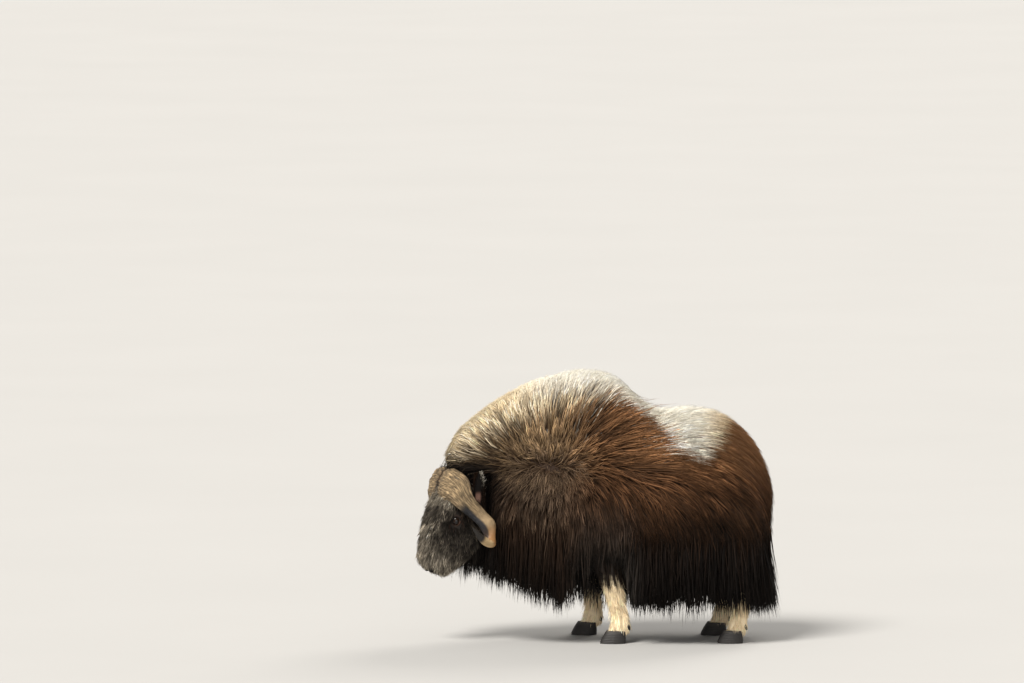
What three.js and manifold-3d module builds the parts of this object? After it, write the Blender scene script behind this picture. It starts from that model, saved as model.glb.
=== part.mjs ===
// A grazing muskox bull, life size, as one still model in named pieces.
// Millimetres, +Z up. It faces -X, its left side is -Y, and its hooves stand on Z = 0.
import * as THREE from "three";
import { mergeVertices } from "three/addons/utils/BufferGeometryUtils.js";
import Module from "manifold-3d";

const wasm = await Module();
wasm.setup();

const vec = (x, y, z) => new THREE.Vector3(x, y, z);
const radians = THREE.MathUtils.degToRad;
const mix = THREE.MathUtils.lerp;
const smooth = (low, high, value) => THREE.MathUtils.smoothstep(value, low, high);

// General sizes
const gap = 0.35; // between pieces that touch
const reach = 3000; // beyond every piece, for boxes that cut
const coreDepth = 38; // from the outline of the coat down to the core of its nodes
const sliver = 0.1; // detail smaller than this is dropped from a finished piece
const lockSink = 10; // how far a lock's root goes below the core
const seamX = -262; // where the neck ends and the torso starts

// The coat's outline along neck and torso: position, sideways bend, top, underside, half width
const trunkRows = [
  { x: -822, y: -92, top: 1010, low: 760, half: 125 },
  { x: -740, y: -78, top: 1090, low: 620, half: 170 },
  { x: -640, y: -58, top: 1172, low: 510, half: 215 },
  { x: -513, y: -32, top: 1260, low: 430, half: 265 },
  { x: -369, y: -10, top: 1333, low: 370, half: 315 },
  { x: -215, y: 0, top: 1382, low: 325, half: 352 },
  { x: -60, y: 0, top: 1401, low: 300, half: 374 },
  { x: 85, y: 0, top: 1366, low: 290, half: 386 },
  { x: 190, y: 0, top: 1268, low: 290, half: 390 },
  { x: 300, y: 0, top: 1206, low: 290, half: 394 },
  { x: 470, y: 0, top: 1216, low: 295, half: 400 },
  { x: 630, y: 0, top: 1180, low: 305, half: 388 },
  { x: 765, y: 0, top: 1072, low: 330, half: 350 },
  { x: 862, y: 0, top: 940, low: 370, half: 280 },
  { x: 912, y: 0, top: 850, low: 430, half: 200 },
];

// Where the coat parts on each shoulder, and how the hair lies from there
const whorl = vec(-269, 0, 915);
const skirtAngle = 1.75; // radians from the ridge down to the lowest row of locks
const hangSlope = -0.22; // where the body turns under more than this, a lock hangs free

// Head, in its own frame: x to the nose, y to its left, z to the crown, eyes at x = z = 0
const headPlace = vec(-793, -135, 636);
const headPitch = radians(62);
const headYaw = radians(26);
const headRows = [
  { x: -236, top: 88, low: -90, half: 96 },
  { x: -180, top: 112, low: -175, half: 122 },
  { x: -110, top: 110, low: -222, half: 140 },
  { x: -40, top: 106, low: -242, half: 144 },
  { x: 25, top: 98, low: -238, half: 134 },
  { x: 90, top: 86, low: -220, half: 114 },
  { x: 155, top: 70, low: -192, half: 98 },
  { x: 215, top: 50, low: -158, half: 90 },
  { x: 262, top: 22, low: -130, half: 80 },
  { x: 284, top: -6, low: -112, half: 64 },
];
const eye = { spread: 112, radius: 24, lid: 31, slit: [22, 14], look: vec(0.3, 0.93, 0.12).normalize() };

// The line between the lips: side view of its path, half its opening and its depth
const mouth = {
  line: [
    [300, -98],
    [262, -96],
    [215, -88],
    [160, -84],
    [112, -96],
  ],
  open: 1.6,
  halfWidth: 160,
  depth: 26,
};

// Horn path from the groove between the bosses to the tip, with its broad and thin half sizes
const hornRows = [
  { at: vec(-150, -6, 91), broad: 84, thin: 42 },
  { at: vec(-152, 70, 93), broad: 86, thin: 44 },
  { at: vec(-144, 130, 68), broad: 74, thin: 41 },
  { at: vec(-98, 176, 16), broad: 47, thin: 36 },
  { at: vec(-70, 208, -56), broad: 39, thin: 32 },
  { at: vec(-37, 240, -120), broad: 36, thin: 29 },
  { at: vec(34, 264, -157), broad: 28, thin: 25 },
  { at: vec(41, 284, -105), broad: 20, thin: 18 },
  { at: vec(14, 300, -10), broad: 5, thin: 5 },
];
const bossSlope = vec(-0.97, 0, 0.2); // the direction in which the boss is broadest
const bossGroove = 5; // half the groove between the two bosses

// Ear: its path from root to tip and half sizes
const ear = {
  root: vec(-112, 112, -62),
  tip: vec(-262, 196, 52),
  wide: 34,
  thick: 12,
  face: vec(0.45, 0.75, -0.1), // the way its cup opens
};

// Legs: centre of the foot's stations from the body down, with fore-and-aft and sideways half sizes
const legRows = {
  front: [
    { lean: -20, z: 640, fore: 120, side: 92 },
    { lean: 0, z: 520, fore: 108, side: 90 },
    { lean: 14, z: 410, fore: 88, side: 76 },
    { lean: 26, z: 310, fore: 66, side: 60 },
    { lean: 42, z: 210, fore: 56, side: 50 },
    { lean: 56, z: 125, fore: 55, side: 50 },
    { lean: 52, z: 62, fore: 60, side: 54 },
    { lean: 40, z: 22, fore: 50, side: 46 },
  ],
  hind: [
    { lean: -20, z: 640, fore: 150, side: 100 },
    { lean: 0, z: 520, fore: 118, side: 92 },
    { lean: 28, z: 410, fore: 86, side: 70 },
    { lean: 40, z: 310, fore: 66, side: 56 },
    { lean: 30, z: 210, fore: 54, side: 48 },
    { lean: 16, z: 125, fore: 52, side: 48 },
    { lean: 4, z: 62, fore: 58, side: 54 },
    { lean: -6, z: 22, fore: 48, side: 46 },
  ],
};
// Each leg: its pair, where its top stands, how far it is slanted back at the foot
const legs = [
  { name: "front_left", pair: "front", x: 24, y: -205, slant: 26, seed: 5 },
  { name: "front_right", pair: "front", x: -40, y: 205, slant: -60, seed: 17 },
  { name: "hind_left", pair: "hind", x: 700, y: -190, slant: 0, seed: 23 },
  { name: "hind_right", pair: "hind", x: 640, y: 190, slant: -20, seed: 31 },
];
const hoof = { length: 132, width: 60, height: 64, splay: 32, ahead: 24, rake: 16 };

// Small library

// The same numbers in every run
function seededRandom(seed) {
  let state = seed;
  return () => {
    state = (state * 1664525 + 1013904223) % 4294967296;
    return state / 4294967296;
  };
}

// A closed geometry as a manifold-3d solid with its faces pointing out
function solidOf(geometry) {
  const bare = geometry.clone();
  ["normal", "uv"].forEach((name) => bare.deleteAttribute(name));
  const merged = mergeVertices(bare, 1e-3);
  const triVerts = new Uint32Array(merged.index.array);
  const vertProperties = merged.attributes.position.array;
  const made = new wasm.Manifold(new wasm.Mesh({ numProp: 3, vertProperties, triVerts }));
  if (made.volume() > 0) return made;
  for (let i = 0; i < triVerts.length; i += 3) {
    [triVerts[i + 1], triVerts[i + 2]] = [triVerts[i + 2], triVerts[i + 1]];
  }
  return new wasm.Manifold(new wasm.Mesh({ numProp: 3, vertProperties, triVerts }));
}

// Moves each vertex to the place that a function of its uv and position gives
function warp(geometry, place) {
  const { position, uv } = geometry.attributes;
  const here = vec(0, 0, 0);
  for (let i = 0; i < position.count; i++) {
    here.fromBufferAttribute(position, i);
    const there = place(here, uv.getX(i), uv.getY(i));
    position.setXYZ(i, there.x, there.y, there.z);
  }
  return geometry;
}

const join = (solids) => wasm.Manifold.union(solids);

// Keeps the largest closed surface, so that a scrap or a sealed hollow is dropped
function largest(solid) {
  const parts = solidOf(geometryOf(solid.simplify(sliver))).decompose();
  return parts.reduce((best, part) => (part.volume() > best.volume() ? part : best), parts[0]);
}

function geometryOf(solid) {
  const mesh = solid.getMesh();
  const positions = new Float32Array(mesh.numVert * 3);
  for (let i = 0; i < mesh.numVert; i++) {
    positions.set(mesh.vertProperties.subarray(i * mesh.numProp, i * mesh.numProp + 3), i * 3);
  }
  const made = new THREE.BufferGeometry();
  made.setAttribute("position", new THREE.BufferAttribute(positions, 3));
  made.setIndex(new THREE.BufferAttribute(mesh.triVerts, 1));
  return made;
}

const mirrored = (solid) => solid.mirror([0, 1, 0]);
const bothHands = (solid) => [solid, mirrored(solid)];

// A ball of given half sizes, turned so that its x axis points along a direction
function ball(at, sizes, along = vec(1, 0, 0), around = 12, rings = 8) {
  const shape = new THREE.SphereGeometry(1, around, rings).scale(...sizes);
  const turn = new THREE.Quaternion().setFromUnitVectors(vec(1, 0, 0), along.clone().normalize());
  return solidOf(shape.applyQuaternion(turn).translate(at.x, at.y, at.z));
}

// A box between two corners, for cutting
function block(low, high) {
  const size = high.clone().sub(low);
  const middle = low.clone().add(high).multiplyScalar(0.5);
  return solidOf(new THREE.BoxGeometry(...size.toArray()).translate(...middle.toArray()));
}

// A smooth closed body: oval sections along a curve, rounded at both ends
class Loft {
  constructor(rows, { round = [0.06, 0.06], belly = 0, power = 1 } = {}) {
    const curve = (points) => new THREE.CatmullRomCurve3(points, false, "catmullrom", 0.5);
    this.centre = curve(rows.map((row) => row.centre));
    this.up = curve(rows.map((row) => row.up));
    this.side = curve(rows.map((row) => row.side));
    this.round = round;
    this.belly = belly;
    this.power = power;
    const step = (a, b) => rows[a].centre.distanceTo(rows[b].centre) * (rows.length - 1);
    this.endSteps = [step(0, 1), step(rows.length - 2, rows.length - 1)];
  }

  // How much of its full size the section at u has
  fullness(u) {
    const [start, end] = this.round;
    const share = Math.min(1, u / start, (1 - u) / end);
    return Math.sqrt(Math.max(0, 1 - (1 - share) ** 2));
  }

  // The surface at u along the curve and angle v from its top, inset towards the middle
  point(u, v, inset = 0) {
    const fullness = this.fullness(THREE.MathUtils.clamp(u, 0, 1));
    const trims = this.endSteps.map((step) => inset / step);
    const t = THREE.MathUtils.clamp(mix(trims[0], 1 - trims[1], u), 0, 1);
    const up = this.up.getPoint(t);
    const side = this.side.getPoint(t);
    up.setLength(Math.max(up.length() - inset, 0) * fullness * Math.cos(v));
    const sine = Math.sin(v);
    const bulge = Math.sign(sine) * Math.abs(sine) ** this.power * (1 - this.belly * Math.cos(v));
    side.multiplyScalar((Math.max(side.length() - inset, 0) * fullness * bulge) / side.length());
    return this.centre.getPoint(t).add(up).add(side);
  }

  // Position, outward normal and the two tangents at a point of the surface
  frame(u, v, inset = 0) {
    const small = 1e-3;
    const p = this.point(u, v, inset);
    const du = this.point(u + small, v, inset).sub(this.point(u - small, v, inset));
    const dv = this.point(u, v + small, inset).sub(this.point(u, v - small, inset));
    du.divideScalar(2 * small);
    dv.divideScalar(2 * small);
    const normal = vec(0, 0, 0).crossVectors(du, dv).normalize();
    const outward = p.clone().sub(this.centre.getPoint(THREE.MathUtils.clamp(u, 0, 1)));
    if (normal.dot(outward) < 0) normal.negate();
    return { p, du, dv, normal };
  }

  solid(around, rings, inset = 0) {
    const shape = new THREE.SphereGeometry(1, around, rings);
    const along = (uvY) => (1 - Math.cos(Math.PI * (1 - uvY))) / 2;
    const place = (_, uvX, uvY) => this.point(along(uvY), uvX * 2 * Math.PI, inset);
    return solidOf(warp(shape, place));
  }
}

const turning = 0.3; // how far a lock turns into the lie at each step

// The spine of a lock: it follows the coat's lie over a body, and hangs where the body turns under
function lockSpine(body, start, flow, size) {
  const stride = size.length / size.steps;
  let { u, v } = start;
  let hanging = false;
  let steady = null;
  const spine = [];
  for (let k = 0; k <= size.steps; k++) {
    const inset = mix(size.rootInset, size.tipInset, (k / size.steps) ** 0.8);
    if (hanging) {
      const last = spine[k - 1];
      spine.push({ p: last.p.clone().addScaledVector(size.fall, stride), normal: last.normal });
      continue;
    }
    const here = body.frame(u, v, inset);
    spine.push({ p: here.p, normal: here.normal });
    hanging = k > 0 && (here.normal.z < hangSlope || Math.abs(u - 0.5) > 0.475);
    const lie = flow(here.p).applyAxisAngle(here.normal, size.stray);
    steady = steady ? steady.lerp(lie, turning) : lie;
    const way = steady.clone().addScaledVector(here.normal, -steady.dot(here.normal)).normalize();
    const a = here.du.dot(here.du);
    const b = here.du.dot(here.dv);
    const c = here.dv.dot(here.dv);
    const e = here.du.dot(way) * stride;
    const f = here.dv.dot(way) * stride;
    const det = a * c - b * b || 1;
    u = THREE.MathUtils.clamp(u + (e * c - f * b) / det, 0.004, 0.996);
    v += (a * f - b * e) / det;
  }
  return withSides(spine, size.hangs);
}

// Gives each point of a spine its sideways direction, which turns with the body but never flips
function withSides(spine, hangs) {
  const level = vec(-spine[0].normal.y, spine[0].normal.x, 0).normalize();
  spine.forEach((here, k) => {
    const [last, next] = [spine[Math.max(k - 1, 0)], spine[Math.min(k + 1, spine.length - 1)]];
    const along = next.p.clone().sub(last.p).normalize();
    const across = vec(0, 0, 0).crossVectors(along, here.normal);
    const before = k > 0 ? spine[k - 1].side : across;
    const clear = across.length() > 0.5 && across.dot(before) > 0.3;
    here.side = clear || k === 0 ? across : before.clone();
    if (hangs) here.side = level.clone();
    here.side.addScaledVector(along, -here.side.dot(along)).normalize();
  });
  return spine;
}

// A flat, tapered lock of hair along its spine
function lock(body, start, flow, size, grow = 0) {
  const spine = lockSpine(body, start, flow, size);
  const curve = (points) => new THREE.CatmullRomCurve3(points, false, "catmullrom", 0.5);
  const path = curve(spine.map((here) => here.p));
  const sides = curve(spine.map((here) => here.side));
  const place = (here) => {
    const s = here.y + 0.5;
    const left = 1 - s;
    const p = path.getPoint(s);
    const along = path.getTangent(s);
    if (left < 1e-6) return p.addScaledVector(along, grow * 3);
    const side = sides.getPoint(s);
    side.addScaledVector(along, -side.dot(along)).normalize();
    const out = vec(0, 0, 0).crossVectors(side, along).normalize();
    const swell = 0.62 + 0.38 * Math.sin(Math.PI * Math.min(1, s * 1.5));
    const width = size.width * swell * left ** size.taper;
    const thick = size.thick * left ** 0.5;
    p.addScaledVector(side, (here.x / left) * (width + grow * (1 + width / thick)));
    p.addScaledVector(out, (here.z / left) * (thick + grow));
    return p.addScaledVector(along, s === 0 ? -grow : 0);
  };
  return solidOf(warp(new THREE.ConeGeometry(1, 1, 3, size.bands), place));
}

// Neck and torso: one outline, parted at the shoulder whorl

const trunk = new Loft(
  trunkRows.map((row) => ({
    centre: vec(row.x, row.y, (row.top + row.low) / 2),
    up: vec(0, 0, (row.top - row.low) / 2),
    side: vec(0, row.half, 0),
  })),
  { round: [0.1, 0.13], belly: 0.16, power: 0.86 },
);

const neckBend = -0.164; // sideways shift of the neck's ridge for each millimetre ahead of the seam

// The lie of the hair: away from the whorl, and falling lower down and further back
function coatFlow(p) {
  const dx = p.x - whorl.x;
  const dz = p.z - whorl.z;
  const distance = Math.hypot(dx, dz) || 1;
  const below = smooth(-140, 260, -dz);
  const away = smooth(120, 1000, distance) * (dx > 0 ? 0.72 : 0.2);
  const fall = Math.max(below, away);
  const fromRidge = Math.abs(p.y - neckBend * Math.max(0, seamX - p.x));
  const rise = (dz / distance) * (1 - fall) * smooth(0, 170, fromRidge);
  return vec((dx / distance) * (1 - fall) + 0.05 * Math.sign(dx), 0, rise - fall).normalize();
}

// Height of the tips of the hanging hair above the ground
const hem = { torso: 165, neck: 335, overForeleg: 440 };
const hemHeight = (x) => mix(hem.neck, hem.torso, smooth(-660, -120, x));
const besideForeleg = (p) => p.x > -100 && p.x < 150 && Math.abs(p.y) > 200;

const coat = {
  rowPitch: 172, // between rows of locks along the body
  firstRow: 30, // from the seam to the first row on either side of it
  lockPitch: 170, // between locks of a row
  curtainPitch: 88, // between the locks of the hanging hair
  length: 330,
  saddleLength: 210,
  width: 94,
  curtainWidth: 64,
  thick: 14,
  stray: 0.14, // radians either way
  seed: 19,
};

const whorlRing = { radius: 55, count: 6, clear: 130 }; // locks set round the whorl itself

// The place along a body at which its surface reaches a given x
function alongAt(body, x) {
  let [low, high] = [0, 1];
  for (let k = 0; k < 24; k++) {
    const middle = (low + high) / 2;
    if (body.point(middle, Math.PI / 2, coreDepth).x < x) low = middle;
    else high = middle;
  }
  return low;
}

// The place on a body's left half at a given x and height
function besideAt(body, x, z) {
  const u = alongAt(body, x);
  let [low, high] = [0, Math.PI];
  for (let k = 0; k < 24; k++) {
    const middle = (low + high) / 2;
    if (body.point(u, middle, coreDepth).z > z) low = middle;
    else high = middle;
  }
  return { u, v: low };
}

// Roots of the locks: rows that start at the seam, staggered round the body, and the hanging curtain
function coatRoots(jitter) {
  const roots = [];
  const bothSides = (root) =>
    [-1, 1].forEach((hand) => roots.push({ ...root, v: hand * root.v + jitter(0.03) }));
  const rowsFrom = (start, end, pitch) => {
    const count = Math.round(Math.abs(end - start) / pitch);
    return Array.from({ length: count + 1 }, (_, i) => mix(start, end, i / count));
  };
  const [front, rear] = [trunkRows[0].x, trunkRows[trunkRows.length - 1].x];
  [
    rowsFrom(seamX - coat.firstRow, front + 75, coat.rowPitch),
    rowsFrom(seamX + coat.firstRow, rear - 52, coat.rowPitch),
  ].forEach((rows) => {
    rows.forEach((x, i) => {
      const u = alongAt(trunk, x);
      const arc = (k) => trunk.point(u, (k / 12) * skirtAngle);
      let girth = 0;
      for (let k = 0; k < 12; k++) girth += arc(k).distanceTo(arc(k + 1));
      const count = Math.max(2, Math.round(girth / coat.lockPitch));
      for (let j = -count; j < count; j++) {
        const v = ((j + 0.25 + 0.5 * (i % 2) + jitter(0.12)) / count) * skirtAngle;
        const root = trunk.point(u, v);
        const nearWhorl = Math.hypot(root.x - whorl.x, root.z - whorl.z) < whorlRing.clear;
        if (!nearWhorl) roots.push({ u: u + jitter(0.004), v, hangs: false });
      }
    });
  });
  rowsFrom(front + 150, rear - 42, coat.curtainPitch).forEach((x, i) => {
    bothSides({ u: alongAt(trunk, x), v: skirtAngle + 0.05 + 0.3 * (i % 2) + jitter(0.04), hangs: true });
  });
  rowsFrom(front + 190, seamX + 60, coat.curtainPitch * 1.6).forEach((x) => {
    bothSides({ u: alongAt(trunk, x), v: 2.72 + jitter(0.06), hangs: true });
  });
  bothSides({ u: alongAt(trunk, rear - 40), v: 2.72, hangs: true });
  for (let k = 0; k < whorlRing.count; k++) {
    const angle = (2 * Math.PI * (k + 0.5)) / whorlRing.count;
    const x = whorl.x + whorlRing.radius * Math.cos(angle);
    bothSides({ ...besideAt(trunk, x, whorl.z + whorlRing.radius * Math.sin(angle)), hangs: false });
  }
  return roots;
}

// The locks of neck and torso with their lengths
function coatLocks() {
  const random = seededRandom(coat.seed);
  const jitter = (amount) => (random() - 0.5) * 2 * amount;
  return coatRoots(jitter).map(({ u, v, hangs }) => {
    const root = trunk.point(u, v, coreDepth);
    const saddle = smooth(150, 260, root.x) * smooth(1090, 1170, root.z);
    const bottom = besideForeleg(root) ? hem.overForeleg : hemHeight(root.x);
    const room = Math.max(root.z - bottom + jitter(24), 120);
    const free = mix(coat.length, coat.saddleLength, saddle) * (1 + jitter(0.12));
    return {
      start: { u, v },
      size: {
        hangs,
        length: hangs ? room : Math.min(free, room + 60),
        width: (hangs ? coat.curtainWidth : coat.width) * (1 + jitter(0.12)),
        thick: coat.thick,
        taper: hangs ? 0.28 : 0.42,
        steps: 5,
        bands: hangs ? 4 : 3,
        rootInset: coreDepth + lockSink,
        tipInset: -6 + jitter(6),
        stray: jitter(coat.stray),
        fall: vec(0.05 * Math.sign(root.x - 600), Math.sign(v) * 0.03, -1),
      },
    };
  });
}

// The core of neck and torso, grown where it cuts a neighbour
const trunkCore = (grow = 0) => trunk.solid(18, 15, coreDepth - grow);

// A stretch of the trunk, with the locks that lie over it, between two places along x
function stretchOf(whole, from, to) {
  return whole.intersect(block(vec(from, -reach, -reach), vec(to, reach, reach)));
}

// Head

const headLoft = new Loft(
  headRows.map((row) => ({
    centre: vec(row.x, 0, (row.top + row.low) / 2),
    up: vec(0, 0, (row.top - row.low) / 2),
    side: vec(0, row.half, 0),
  })),
  { round: [0.12, 0.12], belly: -0.06, power: 0.8 },
);

// The head's frame in the model: its nose points ahead, down by the pitch and left by the yaw
function headBasis() {
  const ahead = vec(-Math.cos(headYaw), -Math.sin(headYaw), 0);
  const nose = ahead.clone().multiplyScalar(Math.cos(headPitch)).setZ(-Math.sin(headPitch));
  const crown = ahead.clone().multiplyScalar(Math.sin(headPitch)).setZ(Math.cos(headPitch));
  return new THREE.Matrix4().makeBasis(nose, vec(Math.sin(headYaw), -Math.cos(headYaw), 0), crown);
}

const headTurn = headBasis();
const headMatrix = headTurn.clone().setPosition(headPlace);
const inWorld = (solid) => solid.transform(headMatrix.toArray());

const eyeLook = (hand) => vec(eye.look.x, hand * eye.look.y, eye.look.z);
const eyeCentre = (hand) => vec(0, hand * eye.spread, 0).addScaledVector(eyeLook(hand), -6);

const round = (radius) => [radius, radius, radius];
const eyeball = (hand, grow = 0) => ball(eyeCentre(hand), round(eye.radius + grow), eyeLook(hand), 12, 7);

// The horn: one body from the groove, over the boss, down beside the cheek and up to the tip
function horn(grow = 0) {
  const path = new THREE.CatmullRomCurve3(hornRows.map((row) => row.at), false, "catmullrom", 0.5);
  const rows = hornRows.map((row, i) => {
    const along = path.getTangent(i / (hornRows.length - 1));
    const broad = bossSlope.clone().addScaledVector(along, -bossSlope.dot(along)).normalize();
    const thin = vec(0, 0, 0).crossVectors(along, broad);
    return { centre: row.at, up: broad.multiplyScalar(row.broad), side: thin.multiplyScalar(row.thin) };
  });
  const body = new Loft(rows, { round: [0.02, 0.05], power: 0.9 }).solid(11, 18, -grow);
  return body.intersect(block(vec(-500, bossGroove - grow, -500), vec(500, 600, 500)));
}

// The ear: a leaf with a cup along its front, open towards the side
function earShape(grow = 0) {
  const along = ear.tip.clone().sub(ear.root);
  const length = along.length();
  along.normalize();
  const outward = ear.face.clone().addScaledVector(along, -ear.face.dot(along)).normalize();
  const wide = vec(0, 0, 0).crossVectors(along, outward);
  const sizes = [0.55, 0.9, 1, 0.9, 0.62, 0.2];
  const rows = sizes.map((size, i) => ({
    centre: ear.root.clone().addScaledVector(along, (length * i) / (sizes.length - 1)),
    up: outward.clone().multiplyScalar(ear.thick * (0.8 + 0.4 * size)),
    side: wide.clone().multiplyScalar(ear.wide * size),
  }));
  const leaf = new Loft(rows, { round: [0.15, 0.1] }).solid(10, 8, -grow);
  if (grow > 0) return leaf;
  const cup = new Loft(
    rows.slice(1, 6).map((row) => ({
      centre: row.centre.clone().addScaledVector(outward, ear.thick * 0.95),
      up: row.up.clone().multiplyScalar(0.8),
      side: row.side.clone().multiplyScalar(0.66),
    })),
    { round: [0.3, 0.3] },
  ).solid(8, 6);
  return leaf.subtract(cup);
}

// A shallow slot that follows the muzzle: the line between the lips
function mouthLine() {
  const path = new THREE.CatmullRomCurve3(
    mouth.line.map(([x, z]) => vec(x, 0, z)),
    false,
    "catmullrom",
    0.5,
  );
  const corners = [
    [-1, -1],
    [1, -1],
    [1, 1],
    [-1, 1],
  ].map(([x, y]) => new THREE.Vector2(x * mouth.open, y * mouth.halfWidth));
  const section = new THREE.Shape(corners);
  const options = { extrudePath: path, steps: 6, bevelEnabled: false };
  const slab = solidOf(new THREE.ExtrudeGeometry(section, options));
  return slab.subtract(headLoft.solid(14, 12, mouth.depth));
}

const faceSeed = 7;
const faceLock = {
  thick: 9,
  taper: 0.42,
  steps: 4,
  bands: 2,
  rootInset: 26,
  tipInset: -14,
  fall: vec(0.75, 0, -0.66),
};

// Curls of the forelock along the front of the boss, and the beard under the jaw
function headLocks(grow = 0) {
  const random = seededRandom(faceSeed);
  const jitter = (amount) => (random() - 0.5) * 2 * amount;
  const ahead = () => vec(1, 0, -0.3);
  const down = () => vec(0.62, 0, -0.78);
  const fringe = { length: 100, width: 30 };
  const beard = { length: 115, width: 38 };
  const made = [];
  const add = (u, v, flow, shape) => {
    const length = shape.length * (1 + jitter(0.15));
    const size = { ...faceLock, ...shape, length, stray: jitter(0.25) };
    made.push(lock(headLoft, { u, v: v + jitter(0.04) }, flow, size, grow));
  };
  [-0.7, -0.24, 0.24, 0.7].forEach((v) => add(0.37, v, ahead, fringe));
  [0.24, 0.4, 0.56].forEach((u) => {
    [-2.7, -2.0, 2.0, 2.7].forEach((v) => add(u, v, down, beard));
  });
  return made;
}

// The flesh of the head with its hair, before the eyes, horns, ears and mouth are cut in
function headBody(grow = 0) {
  const made = [headLoft.solid(18, 16, 16 - grow)];
  [-1, 1].forEach((hand) => {
    const grown = (sizes) => sizes.map((size) => size + grow);
    made.push(ball(vec(-6, hand * (eye.spread - 22), -4), grown([44, 36, 38]), vec(1, 0, 0), 12, 8));
    made.push(ball(eyeCentre(hand), round(eye.lid + grow), eyeLook(hand), 12, 8));
    made.push(ball(vec(262, hand * 34, -34), grown([22, 24, 30]), vec(1, hand * 0.5, 0), 10, 6));
  });
  return join([...made, ...headLocks(grow)]);
}

function head() {
  const cuts = [mouthLine(), ...bothHands(horn(gap)), ...bothHands(earShape(gap))];
  [-1, 1].forEach((hand) => {
    const look = eyeLook(hand);
    const centre = eyeCentre(hand);
    cuts.push(eyeball(hand, gap));
    const slit = new THREE.SphereGeometry(1, 10, 6).scale(eye.slit[0], 30, eye.slit[1]);
    const turn = new THREE.Quaternion().setFromUnitVectors(vec(0, 1, 0), look);
    const place = centre.clone().addScaledVector(look, 24);
    cuts.push(solidOf(slit.applyQuaternion(turn).translate(place.x, place.y, place.z)));
    cuts.push(ball(vec(286, hand * 40, -30), [16, 8, 12], vec(0.7, hand * 0.6, 0.35), 8, 6));
  });
  return largest(headBody().subtract(join(cuts)));
}

// Legs, hooves and tail

function legLoft(leg) {
  const rows = legRows[leg.pair];
  const top = rows[0].z;
  return new Loft(
    rows.map((row) => ({
      centre: vec(leg.x + row.lean + (leg.slant * (top - row.z)) / top, leg.y, row.z),
      up: vec(row.fore, 0, 0),
      side: vec(0, row.side, 0),
    })),
    { round: [0.1, 0.08], power: 0.95 },
  );
}

// One toe: a half-round block, flat below, narrower above, its straight side facing the other toe
function toe(leg, side, grow = 0) {
  const foot = legLoft(leg).centre.getPoint(1);
  const shape = new THREE.CylinderGeometry(1, 1, 1, 12, 2);
  const centre = vec(foot.x - hoof.ahead, leg.y + side * hoof.splay, 0);
  return solidOf(
    warp(shape, (here) => {
      const rise = here.y + 0.5;
      const narrow = 1 - 0.3 * rise ** 1.5;
      const inner = Math.sign(here.z) === -side ? 0.86 : 1;
      const point = 1 - 0.22 * Math.max(0, -here.x);
      const x = centre.x + here.x * (hoof.length / 2 + grow) * narrow + hoof.rake * rise;
      const y = centre.y + here.z * inner * point * (hoof.width / 2 + grow) * narrow;
      return vec(x, y, rise * (hoof.height + 2 * grow) - grow);
    }),
  );
}

const legLock = {
  length: 160,
  width: 50,
  thick: 9,
  taper: 0.42,
  steps: 4,
  bands: 2,
  rootInset: 34,
  tipInset: -10,
  fall: vec(0, 0, -1),
};

// Shaggy hair down the back and outside of the upper leg
function legLocks(leg, body, grow = 0) {
  const random = seededRandom(leg.seed);
  const jitter = (amount) => (random() - 0.5) * 2 * amount;
  const outer = Math.sign(leg.y);
  const made = [];
  const down = () => vec(0.12, 0, -1);
  const rows = leg.pair === "front" ? [0.2, 0.33, 0.45] : [0.34];
  const angles = leg.pair === "front" ? [0, 1.2, 2.4] : [0, 1.6];
  rows.forEach((u, i) => {
    angles.forEach((v) => {
      const size = { ...legLock, length: legLock.length * (1 + jitter(0.15)), stray: jitter(0.12) };
      made.push(lock(body, { u: u + jitter(0.02), v: outer * (v + (i % 2) * 0.6) }, down, size, grow));
    });
  });
  return made;
}

function legShape(leg) {
  const body = legLoft(leg);
  return join([body.solid(10, 11, 12), ...legLocks(leg, body)]);
}

function tailShape(grow = 0) {
  const rows = [
    [838, 868, 26],
    [874, 822, 30],
    [896, 762, 25],
    [906, 706, 15],
  ].map(([x, z, size]) => ({ centre: vec(x, 0, z), up: vec(size, 0, 0), side: vec(0, size * 1.2, 0) }));
  return new Loft(rows, { round: [0.3, 0.3] }).solid(10, 7, -grow);
}

// Every piece, each cut clear of the one that it grows from

const hands = { left: 1, right: -1 };
const headSolid = head();
const horns = { left: horn(), right: mirrored(horn()) };
const earLeft = largest(earShape().subtract(horn(gap)));
const ears = { left: earLeft, right: mirrored(earLeft) };
const headCutters = [headBody(gap), ...bothHands(horn(gap)), ...bothHands(earShape(gap))];

const trunkLocks = coatLocks().map((item) => lock(trunk, item.start, coatFlow, item.size));
const whole = join([trunkCore(), ...trunkLocks]);
const torso = largest(stretchOf(whole, seamX, reach).subtract(tailShape(gap)));
const neck = largest(stretchOf(whole, -reach, seamX - gap).subtract(join(headCutters.map(inWorld))));

const pieces = { neck, torso, tail: tailShape() };
legs.forEach((leg) => {
  const toes = { inner: -Math.sign(leg.y), outer: Math.sign(leg.y) };
  const cuts = [trunkCore(gap), ...Object.values(toes).map((side) => toe(leg, side, gap))];
  pieces["leg_" + leg.name] = largest(legShape(leg).subtract(join(cuts)));
  Object.entries(toes).forEach(([word, side]) => {
    pieces["hoof_" + leg.name + "_" + word] = toe(leg, side);
  });
});

const finish = {
  coat: { color: 0x3b2a1e, roughness: 0.9, metalness: 0 },
  face: { color: 0x2e2a27, roughness: 0.85, metalness: 0 },
  stocking: { color: 0xcbbd9f, roughness: 0.9, metalness: 0 },
  horn: { color: 0x9c8466, roughness: 0.55, metalness: 0 },
  hoof: { color: 0x2c2622, roughness: 0.6, metalness: 0 },
  eye: { color: 0x1a0f09, roughness: 0.08, metalness: 0 },
};

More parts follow.
